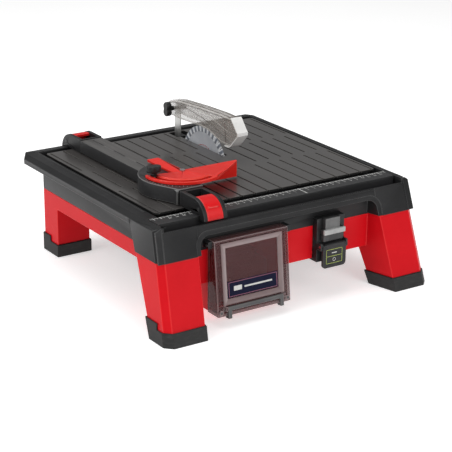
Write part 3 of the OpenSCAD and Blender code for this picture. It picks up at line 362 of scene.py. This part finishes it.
def paint_rail(place):
    x = place.part("X") - BLADE_X
    back = place.part("Y") - (rail_high.y - TICK_MARGIN)
    top = place.part("Z") > corner.z - 0.0004
    marks = 0
    for step, half, length in TICKS:
        line = abs((x + step / 2) % step - step / 2) < half
        marks = (line * (back > -length) * (back < 0.0)).either(marks)
    rubbed = place.noise(300, 4).rise(0.3, 0.6)
    printed = marks * top * (0.55 + 0.45 * rubbed)
    return {
        "Base Color": printed.mix((0.02, 0.02, 0.021), (0.6, 0.6, 0.58)),
        "Roughness": 0.36 + 0.1 * rubbed,
        "Normal": place.noise(700, 2).bump(0.00002),
    }


rail = surface("ruler_black", paint_rail, {})
rounded("front_ruler", 0.5, rail, charcoal_edge_highlight)
rounded("rear_ruler", 0.2, rail, charcoal_edge_highlight, segments=1)

ink = surface(
    "ruler_ink",
    lambda place: {"Base Color": place.noise(400, 3).mix((0.42, 0.42, 0.4), (0.72, 0.72, 0.7))},
    {"Roughness": 0.5},
)


def lettering(name, items, size, body, face):
    """Raised ink numbers, each given as its text and its place, joined into one piece."""
    work = bmesh.new()
    for text, place in items:
        curve = bpy.data.curves.new(name, "FONT")
        curve.body = text
        curve.size = size * MM
        curve.extrude = 0.00004
        curve.align_x = "CENTER"
        holder = bpy.data.objects.new(name, curve)
        bpy.context.scene.collection.objects.link(holder)
        mesh = holder.to_mesh()
        mesh.transform(Matrix.Translation(place))
        work.from_mesh(mesh)
        holder.to_mesh_clear()
        bpy.data.objects.remove(holder)
        bpy.data.curves.remove(curve)
    return keep_mesh(name, work, body, [face])


NUMBER_IN = 0.004
NUMBER_BACK = 0.0118
numbers = []
for count in range(-20, 15):
    x = BLADE_X + count * 0.01
    if rail_low.x + NUMBER_IN < x < rail_high.x - NUMBER_IN and count:
        numbers.append((str(abs(count)), Vector((x, rail_high.y - NUMBER_BACK, corner.z + 0.00006))))
lettering("front_numbers", numbers, 4.4, "stand", ink)


def block(work, low, high, turn=Matrix.Identity(4)):
    """Adds a box between two corners to a bmesh."""
    made = bmesh.ops.create_cube(work, size=1)["verts"]
    size = high - low
    shift = Matrix.Translation((low + high) / 2) @ Matrix.Diagonal((*size, 1))
    bmesh.ops.transform(work, matrix=turn @ shift, verts=made)


# The white zero mark stands on the rail in line with the blade
work = bmesh.new()
block(work, Vector((BLADE_X - 0.0006, rail_low.y + 0.001, corner.z)),
      Vector((BLADE_X + 0.0006, rail_high.y - 0.0007, corner.z + 0.00012)))
keep_mesh("zero_mark", work, "stand", [ink])


# ---- Battery, board and wiring ----
# Behind the hatch a red bay holds the battery on its slide rails, with its terminal block at the back.
# A lacquered board under the deck switches the motor, and three runs of insulated wire join them.
def paint_board(place):
    track = abs(place.times((1, 1, 0)).noise(260, 1) - 0.5) < 0.03
    return {
        "Base Color": track.mix((0.01, 0.12, 0.05), (0.05, 0.3, 0.12)),
        "Roughness": 0.3 + 0.1 * track,
        "Normal": track.bump(0.00005),
    }


rounded("battery_bay", 0.8, red, red_edge_highlight)
pack_black = moulded("pack_black", (0.02, 0.02, 0.021), (0.035, 0.035, 0.036), 0.4)
rounded("battery_pack", 0.9, pack_black, charcoal_edge_highlight)
board_lacquer = surface("board_lacquer", paint_board, {"Coat Weight": 0.5})
vinyl = moulded("wire_vinyl", (0.4, 0.012, 0.012), (0.5, 0.03, 0.03), 0.35, 0.00001, 0.3)


def dress(material, *nodes):
    """Gives CAD nodes that keep their own mesh a material."""
    for node in nodes:
        frame["nodes"][node].data.materials.clear()
        frame["nodes"][node].data.materials.append(material)


dress(pack_black, "battery_terminals")
dress(board_lacquer, "control_board")
dress(vinyl, "wiring_loom")


# ---- Switch ----
# A black box with a grey bezel and a pale ledge above a hinged flap: pulled it switches the saw on, and
# knocked back it switches it off. The flap has a thin green outline and two plain signs, a line and a ring.
switch_black = moulded("switch_black", (0.018, 0.018, 0.019), (0.035, 0.035, 0.036), 0.38)
bezel_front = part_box("switch_bezel")[0].y
LEDGE = 0.0035


def paint_bezel(place):
    ledge = 1 - place.part("Y").rise(bezel_front + LEDGE * 0.6, bezel_front + LEDGE)
    worn = place.noise(60, 4).rise(0.35, 0.75)
    dark = worn.mix((0.03, 0.03, 0.031), (0.055, 0.055, 0.056))
    return {
        "Base Color": ledge.mix(dark, worn.mix((0.3, 0.3, 0.3), (0.42, 0.42, 0.41))),
        "Roughness": 0.34 + 0.1 * worn,
        "Normal": place.noise(900, 2).bump(0.00003),
    }


rounded("switch_box", 0.7, switch_black, charcoal_edge_highlight)
rounded("switch_bezel", 1.0, surface("switch_bezel", paint_bezel, {"Specular IOR Level": 0.3}), segments=3)
rounded("switch_paddle", 0.6, switch_black, charcoal_edge_highlight)

green_ink = surface(
    "green_ink",
    lambda place: {"Base Color": place.noise(350, 3).mix((0.34, 0.42, 0.05), (0.5, 0.6, 0.12))},
    {"Roughness": 0.4},
)
paddle_low, paddle_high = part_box("switch_paddle")
LABEL_IN = 0.0058
INK = 0.00008
label_y = paddle_low.y + 0.0008
left, right = paddle_low.x + LABEL_IN, paddle_high.x - LABEL_IN
bottom, top = paddle_low.z + 0.0056, paddle_low.z + 0.025
LINE = 0.0005
work = bmesh.new()
for low, high in (((left, bottom), (right, bottom + LINE)), ((left, top - LINE), (right, top)),
                  ((left, bottom), (left + LINE, top)), ((right - LINE, bottom), (right, top)),
                  ((left, (bottom + top) / 2), (right, (bottom + top) / 2 + LINE))):
    block(work, Vector((low[0], label_y - INK, low[1])), Vector((high[0], label_y, high[1])))
keep_mesh("paddle_outline", work, "paddle", [green_ink])

# A line sign above and a ring sign below, the ring laid out as short blocks
RING_BLOCKS = 24
sign_x = (left + right) / 2
line_z = top - 0.005
work = bmesh.new()
block(work, Vector((sign_x - 0.004, label_y - INK, line_z - 0.0006)),
      Vector((sign_x + 0.004, label_y, line_z + 0.0006)))
ring = Matrix.Translation((sign_x, label_y - INK / 2, bottom + 0.005)) @ Matrix.Rotation(math.pi / 2, 4, "X")
for k in range(RING_BLOCKS):
    block(work, Vector((0.0018, -0.0003, -INK / 2)), Vector((0.0024, 0.0003, INK / 2)),
          ring @ Matrix.Rotation(math.tau * k / RING_BLOCKS, 4, "Z"))
keep_mesh("paddle_signs", work, "paddle", [ink])


# ---- Motor and drive ----
# A brushed motor in a plated can drives the spindle through one pair of steel gears in a cast case. The
# parts are turned, cut or cast, so the steel shows fine rings and the casting a sandy skin.
def paint_steel(place):
    rings = place.times((900, 40, 40)).noise(1, 3)
    stain = place.noise(60, 4).rise(0.4, 0.8)
    return {
        "Base Color": stain.mix((0.56, 0.57, 0.58), (0.42, 0.42, 0.42)),
        "Roughness": 0.22 + 0.16 * rings + 0.1 * stain,
        "Normal": rings.bump(0.00002),
    }


def paint_cast(place):
    sand = place.noise(520, 4)
    return {
        "Base Color": sand.mix((0.36, 0.37, 0.38), (0.5, 0.5, 0.51)),
        "Roughness": 0.42 + 0.16 * sand,
        "Normal": sand.bump(0.0001),
    }


def paint_winding(place):
    wire = place.times((1, 60, 60)).noise(20, 2).rise(0.45, 0.55)
    return {
        "Base Color": wire.mix((0.2, 0.18, 0.17), (0.5, 0.2, 0.08)),
        "Roughness": 0.35 + 0.2 * wire,
        "Normal": wire.bump(0.0001),
    }


steel = surface("turned_steel", paint_steel, {"Metallic": 1.0})
plated = surface("plated_can", paint_cast, {"Metallic": 0.8})
cast_alloy = surface("cast_alloy", paint_cast, {"Metallic": 0.9})
winding = surface("copper_iron", paint_winding, {"Metallic": 0.8})
seal_rubber = surface("seal_rubber", paint_rubber, {})
dress(steel, "hatch_pins", "paddle_pins", "lever_pins", "spindle_bearings", "rotor_bearings", "spindle",
      "driven_gear", "rotor_shaft", "drive_pinion", "knife_screws", "housing_screws", "inner_flange")
dress(plated, "motor_can")
dress(cast_alloy, "gear_case", "gear_cover")
dress(winding, "armature")
dress(seal_rubber, "shaft_seal")
dress(pack_black, "motor_fan")
rounded("motor_cover", 0.7, charcoal, charcoal_edge_highlight)
rounded("splash_shroud", 0.5, charcoal, charcoal_edge_highlight)
rounded("knife_bracket", 0.5, switch_black, charcoal_edge_highlight)


# ---- Blade ----
# A turbo disc for tile: a ground steel core with fine rings, and a sintered diamond rim cut by slanted
# slots. Faint red printed arcs run round the core near the flange. Two turned flanges and a nut clamp it.
blade_low, blade_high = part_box("blade")
blade_centre = (blade_low + blade_high) / 2
BLADE_R = (blade_high.z - blade_low.z) / 2
RIM = 0.008
SEGMENTS = 36


def paint_blade(place):
    local = place.less(blade_centre)
    y, z = local.part("Y"), local.part("Z")
    radius = y.math("SQRT", y * y + z * z)
    angle = y.math("ARCTAN2", z, y)
    rim = radius.rise(BLADE_R - RIM - 0.0002, BLADE_R - RIM + 0.0003)
    rings = y.math("SINE", radius * 2600) * 0.5 + 0.5
    grit = place.noise(1300, 3)
    heat = place.noise(45, 3).rise(0.35, 0.75)
    # The rim's colour follows the ridges of its bump: dark in the hollow of each segment and light on its
    # crest, a painted shade and highlight.
    segment = abs((angle * (SEGMENTS / math.tau)) % 1.0 - 0.5)
    shade = segment.rise(0.1, 0.4)
    share = radius * (1 / BLADE_R)
    band = (share > 0.42) * (share < 0.46) + (share > 0.52) * (share < 0.54)
    printed = band * ((angle * 7) % 1.0 > 0.35)
    core = printed.mix(heat.mix((0.7, 0.73, 0.78), (0.8, 0.82, 0.86)), (0.55, 0.05, 0.06))
    return {
        "Base Color": rim.mix(core, shade.mix((0.2, 0.22, 0.26), (0.86, 0.88, 0.9))),
        "Roughness": 0.34 + 0.1 * rings + 0.2 * rim * grit + 0.1 * printed,
        "Metallic": 0.25 - 0.15 * rim - 0.15 * printed * (1 - rim),
        "Normal": (rings * 0.2 + rim * (grit + shade)).bump(0.0002),
    }


blade_steel = surface("blade_steel", paint_blade, {})
rounded("blade", 0.12, blade_steel, segments=1)
rounded("outer_flange", 0.4, steel, segments=2)
rounded("flange_nut", 0.4, steel, segments=2)


# ---- Riving knife ----
# A blanked strip of stainless steel behind the blade, held in its bracket by two screws. It also carries
# the guard. Its faces are brushed along its height.
def paint_knife(place):
    brush = place.times((1, 900, 12)).noise(1, 3)
    return {
        "Base Color": brush.mix((0.5, 0.5, 0.49), (0.66, 0.66, 0.64)),
        "Roughness": 0.28 + 0.16 * brush,
        "Normal": brush.bump(0.00003),
    }


rounded("riving_knife", 0.15, surface("knife_steel", paint_knife, {"Metallic": 0.9}), segments=1)


# ---- Guard ----
# A clear hood of blown polycarbonate over the blade, slightly smoky. Ribs stiffen its sides and crown, and
# a thicker band with a rolled lower lip closes its front; the band is painted near white, a painted
# highlight.
def clear(name, colour, edge_colour, low, high, rough, shine=0.6):
    """Clear plastic: nearly clear when seen face on, and denser where it is seen along its skin."""

    def paint(place):
        skim = place.node("ShaderNodeLayerWeight", {0: 0.45}, out="Facing")
        haze = place.noise(70, 4).rise(0.35, 0.8)
        return {
            "Base Color": skim.mix(colour, edge_colour),
            "Alpha": low + (high - low) * skim + 0.05 * haze,
            "Roughness": rough + 0.1 * haze,
            "Normal": place.noise(60, 2).bump(0.00002),
        }

    return surface(name, paint, {"Specular IOR Level": shine, "Coat Weight": shine, "Coat Roughness": 0.05})


guard_clear = clear("guard_clear", (0.36, 0.33, 0.3), (0.5, 0.46, 0.42), 0.16, 0.6, 0.12)
# Three lit and shaded copies of the clear plastic follow: a lighter one, a painted highlight on bevels and
# ribs; a dark one, painted shade on ribs; and a near white one, a painted highlight on the front band.
guard_edge_highlight = clear("guard_edge_highlight", (0.5, 0.47, 0.43), (0.75, 0.72, 0.68), 0.4, 0.85, 0.1)
guard_rib_shade = clear("guard_rib_shade", (0.07, 0.055, 0.045), (0.16, 0.13, 0.11), 0.5, 0.8, 0.15)
guard_band_highlight = clear("guard_band_highlight", (0.9, 0.9, 0.88), (1.0, 0.98, 0.96), 0.75, 0.97, 0.1)
rounded("guard_hood", 0.7, guard_clear, guard_edge_highlight)

guard_low, guard_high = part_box("guard_hood")


def side_path(points, x):
    """Points given as distances behind the rim's corner and above the table, on a plane at x."""
    return [Vector((x, corner.y + y * MM, corner.z + z * MM)) for y, z in points]


# Moulded ribs on the sides: one under the crown, two braces and an upright; painted dark as shade where
# light leaves them, and painted light as a highlight where it catches them
RIBS = {
    "crown": ([(343, 47), (321, 51.5), (262, 55.5), (211, 57.6), (186, 57)], guard_rib_shade),
    "brace": ([(329, 50.5), (298, 48.5), (257, 44.5), (231, 40), (206, 34), (192, 27)], guard_rib_shade),
    "second": ([(262, 54.5), (242, 52), (191, 40)], guard_edge_highlight),
    "lower": ([(338, 31), (316, 30.5), (262, 33), (243, 32), (226, 27.5), (208, 22.5), (190, 22.5)],
              guard_edge_highlight),
    "upright": ([(199, 57), (198, 40), (196, 24)], guard_rib_shade),
}
RIB_W = 1.0
RIB_H = 0.5
for name, (points, finish) in RIBS.items():
    for side, x, out in (("left", guard_low.x, -1), ("right", guard_high.x, 1)):
        bar(f"guard_rib_{name}_{side}", side_path(points, x), RIB_W, RIB_H, "guard", finish,
            Vector((out, 0, 0)))
# Ribs along the crown, painted dark as shade.
CROWN = [(340, 50.7), (321, 54.2), (262, 58.2), (211, 60.1), (190, 59.8)]
CROWN_IN = 0.0035
for side, x in (("left", guard_low.x + CROWN_IN), ("right", guard_high.x - CROWN_IN)):
    bar(f"guard_crown_rib_{side}", side_path(CROWN, x), 1.2, RIB_H, "guard", guard_rib_shade)


def strap(name, outline, thick, low_x, high_x, body, faces):
    """A bent strap: an open outline in Y and Z given thickness, as wide as from low_x to high_x."""
    work = bmesh.new()
    rows = []
    for i, point in enumerate(outline):
        ahead = (outline[min(i + 1, len(outline) - 1)] - outline[max(i - 1, 0)]).normalized()
        normal = Vector((0, ahead.z, -ahead.y)) * (thick / 2 * MM)
        rows.append([
            work.verts.new(Vector((x, point.y, point.z)) + normal * sign)
            for x, sign in ((low_x, 1), (high_x, 1), (high_x, -1), (low_x, -1))
        ])
    skin(work, rows)
    return keep_mesh(name, work, body, faces)


lip = side_path([(184, 60.6), (181.5, 59), (176, 52.5), (170, 45.5), (167, 43), (166.8, 39), (169.5, 36),
                 (177, 28.5), (184.5, 20.8), (188, 18.8), (193, 18), (199, 18.6)], 0)
BAND_OUT = 0.0005
# The band is painted near white, a painted highlight on the rolled lip.
strap("guard_front_band", lip, 1.2, guard_low.x - BAND_OUT, guard_high.x + BAND_OUT, "guard",
      [guard_band_highlight])


# ---- Guard knob ----
# A black wing knob on the left of the guard; its bolt passes through the guard and the knife to a nut.
def lobed(name, centre, axis, radius, wing, height, lobes, body, faces, hub=0.55):
    """A hand knob: a lobed disc drawn up from a round hub, with softened rims."""
    work = bmesh.new()
    count = 48
    levels = ((0, hub), (0.3, hub), (0.42, 0.96), (0.5, 1.0), (0.9, 1.0), (1.0, 0.93))
    to_axis = Vector((0, 0, 1)).rotation_difference(axis).to_matrix()
    rows = []
    for up, grow in levels:
        row = []
        for k in range(count):
            angle = math.tau * k / count
            swell = abs(math.cos(lobes * angle / 2)) ** 1.5
            reach = radius * (wing + (1 - wing) * swell) * grow if grow > hub else radius * wing * grow * 1.4
            local = Vector((math.cos(angle) * reach, math.sin(angle) * reach, up * height)) * MM
            row.append(work.verts.new(centre + to_axis @ local))
        rows.append(row)
    skin(work, rows)
    return keep_mesh(name, work, body, faces, smooth=50)


knob_black = moulded("knob_black", (0.014, 0.014, 0.014), (0.03, 0.03, 0.03), 0.35)
knob_low, knob_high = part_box("guard_knob")
knob_centre = Vector((knob_low.x + 0.0132, (knob_low.y + knob_high.y) / 2, (knob_low.z + knob_high.z) / 2))
wing = lobed("guard_knob_wing", knob_centre, Vector((-1, 0, 0)), 10.5, 0.4, 13, 2, "guard_bolt",
             [knob_black])
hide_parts("guard_knob")


def rod(name, start, end, radius, body, faces, sides=32):
    """A round bar between two points with chamfered ends."""
    work = bmesh.new()
    along = end - start
    to_axis = Vector((0, 0, 1)).rotation_difference(along).to_matrix().to_4x4()
    chamfer = min(0.3, radius * 0.3)
    rows = []
    for offset, r in ((0, radius - chamfer), (chamfer * MM, radius), (along.length - chamfer * MM, radius),
                      (along.length, radius - chamfer)):
        rows.append([
            work.verts.new(Matrix.Translation(start) @ to_axis @ Vector((
                math.cos(math.tau * k / sides) * r * MM, math.sin(math.tau * k / sides) * r * MM, offset)))
            for k in range(sides)
        ])
    skin(work, rows)
    return keep_mesh(name, work, body, faces)


bolt_end = Vector((knob_high.x, knob_centre.y, knob_centre.z))
rod("guard_bolt_shank", knob_centre, bolt_end, 2.5, "guard_bolt", [steel])
NUT_THICK = Vector((0.004, 0, 0))
rod("guard_bolt_nut", bolt_end - NUT_THICK, bolt_end, 4.5, "guard_bolt", [knob_black], 24)


# ---- Fence ----
# An aluminium channel, black, its top face painted grey as a painted sheen, between two black heads. Each
# head has two curved cheeks, and a red lever between them turns on a pin and presses a rubber shoe against
# the rail.
def paint_beam(place):
    # The top face is painted grey: a painted sheen of the light from above.
    top = (place.part("Z") - corner.z).rise(0.0176, 0.0183)
    rub = place.times((6, 0.3, 1)).noise(60, 4).rise(0.4, 0.75)
    return {
        "Base Color": top.mix((0.014, 0.014, 0.015), rub.mix((0.072, 0.068, 0.066), (0.105, 0.1, 0.096))),
        "Roughness": 0.4 - 0.05 * top + 0.08 * rub,
        "Normal": place.times((8, 1, 1)).noise(260, 2).bump(0.00002),
    }


lever_red = moulded("lever_red", (0.62, 0.005, 0.008), (0.7, 0.01, 0.012), 0.3, 0.00002, 0.12)
# A lighter copy of the lever red for its bevelled edges: a painted highlight.
lever_edge_highlight = moulded("lever_edge_highlight", (0.7, 0.04, 0.035), (0.76, 0.07, 0.06), 0.26, 0.00001, 0.2)
rounded("fence_beam", 0.5, surface("fence_top_sheen", paint_beam, {}), charcoal_edge_highlight)
for node in ("fence_front_head", "fence_rear_head"):
    rounded(node, 0.6, charcoal, charcoal_edge_highlight, segments=3)
for node in ("front_lever", "rear_lever"):
    rounded(node, 0.9, lever_red, lever_edge_highlight, segments=3)
pad_grey = surface("pad_grey", paint_rubber, {"Specular IOR Level": 0.5})
dress(pad_grey, "front_shoe", "rear_shoe")

# Caps over the ends of the lever pins, pressed flush into the cheeks
# Like the painted edge highlights, the caps take the lighter charcoal.
CAP_IN = 0.014
CAP_DOWN = 0.012
for head in ("fence_front_head", "fence_rear_head"):
    low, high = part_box(head)
    y = low.y + CAP_IN if head == "fence_front_head" else high.y - CAP_IN
    z = high.z - CAP_DOWN
    for side, x, out in (("left", low.x, -1), ("right", high.x, 1)):
        rod(f"{head}_cap_{side}", Vector((x - out * 0.0002, y, z)), Vector((x + out * 0.0005, y, z)), 2.6,
            "fence", [charcoal_edge_highlight], 28)


# ---- Mitre gauge ----
# A black half-round base that slides on the fence carries a bright red head. The head turns on a steel
# screw, a lobed knob locks it through its curved slot, and degree ticks run round the base's rim.
base_low, base_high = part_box("mitre_base")
pivot_low, pivot_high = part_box("mitre_pivot_screw")
pivot = (pivot_low + pivot_high) / 2
gauge_black = moulded("gauge_black", (0.022, 0.022, 0.023), (0.04, 0.04, 0.041), 0.36)
# A lighter grey copy of the black for the base's bevelled rim and the latch's bevels: a painted highlight.
gauge_edge_highlight = moulded("gauge_edge_highlight", (0.14, 0.14, 0.14), (0.22, 0.22, 0.21), 0.32, 0.00001)
gauge_red = moulded("gauge_red", (0.72, 0.014, 0.008), (0.8, 0.022, 0.014), 0.36, 0.00002, 0.06)
# A lighter copy of the red for the head's bevelled edges: a painted highlight.
gauge_red_edge_highlight = moulded("gauge_red_edge_highlight", (0.76, 0.05, 0.035), (0.8, 0.09, 0.06), 0.28, 0.00001, 0.15)
rounded("mitre_base", 0.8, gauge_black, gauge_edge_highlight, segments=3)
rounded("mitre_head", 0.45, gauge_red, gauge_red_edge_highlight)
dress(steel, "mitre_pivot_screw")

TICK_R = 0.0563
TICK_STEP = 5
LONG_TICK = 0.0034
SHORT_TICK = 0.002
work = bmesh.new()
for step in range(25):
    angle = math.radians(180 + TICK_STEP * step)
    reach = LONG_TICK if step % 3 == 0 else SHORT_TICK
    turn = Matrix.Translation((pivot.x, pivot.y, base_high.z)) @ Matrix.Rotation(angle, 4, "Z")
    tip = turn @ Vector((TICK_R, 0, 0))
    if tip.y > base_low.y + 0.003 and tip.x < base_high.x - 0.006:
        block(work, Vector((TICK_R - reach, -0.0002, -0.00002)), Vector((TICK_R, 0.0002, 0.00006)), turn)
keep_mesh("degree_ticks", work, "mitre_carriage", [ink])

clamp_low, clamp_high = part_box("mitre_knob")
clamp = (clamp_low + clamp_high) / 2
foot = Vector((clamp.x, clamp.y, clamp_high.z - 0.013))
grip = lobed("mitre_knob_grip", foot, Vector((0, 0, 1)), 10.3, 0.5, 13, 2, "mitre_clamp",
             [knob_black], 0.6)
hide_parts("mitre_knob")
stud_end = Vector((clamp.x, clamp.y, clamp_low.z))
rod("mitre_knob_stud", stud_end, foot, 2.5, "mitre_clamp", [steel])


# ---- Battery hatch ----
# A smoky clear cover hinged at its top edge. A bevelled frame stands round its recessed window, a plain
# navy label with a thin outline lies in the window, and a grey sprung bar with two tabs latches it.
hatch_smoke = clear("hatch_smoke", (0.075, 0.012, 0.014), (0.16, 0.1, 0.1), 0.42, 0.9, 0.1, 0.2)
# A lighter copy of the smoke for the window's bevels, the frame and the screw bosses: a painted highlight.
hatch_edge_highlight = clear("hatch_edge_highlight", (0.24, 0.17, 0.17), (0.42, 0.35, 0.35), 0.7, 0.95, 0.1, 0.4)
rounded("hatch_window", 0.9, hatch_smoke, hatch_edge_highlight, segments=3)

HATCH_H = 98
HATCH_LEAN = 10
FACE_TOP = at(79, -9, -29)
hatch_face = Matrix.Translation(FACE_TOP) @ Matrix.Rotation(-math.atan2(HATCH_LEAN, HATCH_H), 4, "X")


def picture_frame(name, loops, body, faces, place):
    """A mitred frame: nested rectangles, each given as left, right, bottom, top and how far it stands out."""
    work = bmesh.new()
    rows = []
    for left_x, right_x, low_z, high_z, out in loops:
        rows.append([
            work.verts.new(place @ (Vector((x, -out, z)) * MM))
            for x, z in ((left_x, low_z), (right_x, low_z), (right_x, high_z), (left_x, high_z))
        ])
    skin(work, rows + rows[:1], capped=False)
    return keep_mesh(name, work, body, faces, smooth=15)


FRAME_LOOPS = [(9, 101, -84, -4, -0.2), (9, 101, -84, -4, 0.8), (10, 100, -83, -5, 1.3),
               (12, 98, -81, -7, 1.3), (15.5, 94.5, -77.5, -10.5, 0.1), (15.5, 94.5, -77.5, -10.5, -0.8)]
picture_frame("hatch_frame", FRAME_LOOPS, "hatch", [hatch_edge_highlight], hatch_face)

navy = surface(
    "label_navy",
    lambda place: {
        "Base Color": place.noise(90, 3).mix((0.004, 0.005, 0.02), (0.008, 0.01, 0.032)),
        "Roughness": 0.45 + 0.1 * place.noise(200, 2),
    },
    {"Specular IOR Level": 0.08},
)
pink_ink = surface(
    "label_outline",
    lambda place: {"Base Color": place.noise(300, 2).mix((0.36, 0.1, 0.16), (0.5, 0.2, 0.26))},
    {"Roughness": 0.4},
)


def plates(name, rectangles, front, back, finish):
    """Thin plates on the hatch's face, each given as its lower left and upper right corners."""
    work = bmesh.new()
    for (left_x, low_z), (right_x, high_z) in rectangles:
        block(work, Vector((left_x, front, low_z)) * MM, Vector((right_x, back, high_z)) * MM, hatch_face)
    keep_mesh(name, work, "hatch", [finish])


LABEL_FRONT = 0.7
LABEL_BACK = 1.05
PRINT_FRONT = 0.55
PRINT_BACK = 0.72
OUTLINE = [((18.5, -74.8), (91.5, -74.4)), ((18.5, -56.6), (91.5, -56.2)), ((18.5, -74.8), (18.9, -56.2)),
           ((91.1, -74.8), (91.5, -56.2))]
BARS = [((26, -68), (38, -62)), ((42, -66.2), (84, -64))]
plates("hatch_label", [((17, -76), (93, -55))], LABEL_FRONT, LABEL_BACK, navy)
plates("hatch_label_outline", OUTLINE, PRINT_FRONT, PRINT_BACK, pink_ink)
plates("hatch_label_bars", BARS, PRINT_FRONT, PRINT_BACK, ink)

latch_grey = moulded("latch_grey", (0.07, 0.07, 0.072), (0.12, 0.12, 0.12), 0.34)
rounded("hatch_latch", 0.5, latch_grey, gauge_edge_highlight)
BOSS_Z = -93
for side, x in (("left", 5), ("right", 106)):
    seat, face, tip = [hatch_face @ (Vector((x, y, BOSS_Z)) * MM) for y in (0.2, -1.2, -1.5)]
    rod(f"hatch_boss_{side}", seat, face, 3.4, "hatch", [hatch_edge_highlight])
    rod(f"hatch_boss_screw_{side}", face, tip, 1.8, "hatch", [latch_grey], 20)


# ---- Water tank ----
# A black tub that clips up under the blade, whose lower edge runs in its water. A rubber plug drains it.
rounded("water_tank", 0.9, charcoal, charcoal_edge_highlight)
rounded("drain_plug", 0.6, seal_rubber)


# ---- Floor, light and camera ----
# A pale seamless floor, soft light from the left, above and in front, and a long lens from the front left.
def paint_floor(place):
    paper = place.noise(3, 2)
    return {
        "Base Color": paper.mix((0.84, 0.84, 0.84), (0.87, 0.87, 0.87)),
        "Emission Color": paper.mix((0.98, 0.98, 0.98), (1, 1, 1)),
        "Roughness": 0.6 + 0.1 * place.noise(8, 2),
    }


work = bmesh.new()
bmesh.ops.create_grid(work, x_segments=2, y_segments=2, size=30)
floor_mesh = bpy.data.meshes.new("floor")
work.to_mesh(floor_mesh)
work.free()
floor = bpy.data.objects.new("floor", floor_mesh)
bpy.context.scene.collection.objects.link(floor)
floor_paper = surface("floor_paper", paint_floor, {"Emission Strength": 0.5, "Specular IOR Level": 0.0})
floor_mesh.materials.append(floor_paper)

world = bpy.data.worlds.new("studio")
world.use_nodes = True
backdrop = world.node_tree.nodes["Background"]
backdrop.inputs["Color"].default_value = (1, 1, 1, 1)
backdrop.inputs["Strength"].default_value = 0.3
bpy.context.scene.world = world


def softbox(name, place, target, size, power):
    """A square studio light that faces a target."""
    data = bpy.data.lights.new(name, "AREA")
    data.size = size
    data.energy = power
    lamp = bpy.data.objects.new(name, data)
    bpy.context.scene.collection.objects.link(lamp)
    lamp.location = place
    lamp.rotation_euler = (Vector(target) - Vector(place)).to_track_quat("-Z", "Y").to_euler()


softbox("key", (-1.7, 0.1, 1.1), (0, 0, 0.08), 1.2, 14)
softbox("top", (-0.2, 0.3, 2.0), (0, 0, 0.1), 1.6, 22)
softbox("front", (0.3, -2.0, 1.0), (0, -0.1, 0.05), 1.2, 16)

stand_at = Vector((-1.09265, -1.68747, 0.77935))
right_way = Vector((0.8367, -0.5476, 0.0058)).normalized()
forward = Vector((0.5170, 0.7865, -0.3379)).normalized()
up_way = right_way.cross(forward).normalized()
camera_data = bpy.data.cameras.new("camera")
camera_data.lens = 123.9
camera_data.sensor_width = 36
camera = bpy.data.objects.new("camera", camera_data)
bpy.context.scene.collection.objects.link(camera)
camera.matrix_world = Matrix((
    (right_way.x, up_way.x, -forward.x, stand_at.x),
    (right_way.y, up_way.y, -forward.y, stand_at.y),
    (right_way.z, up_way.z, -forward.z, stand_at.z),
    (0, 0, 0, 1)))
bpy.context.scene.camera = camera
bpy.context.scene.view_settings.view_transform = "Standard"
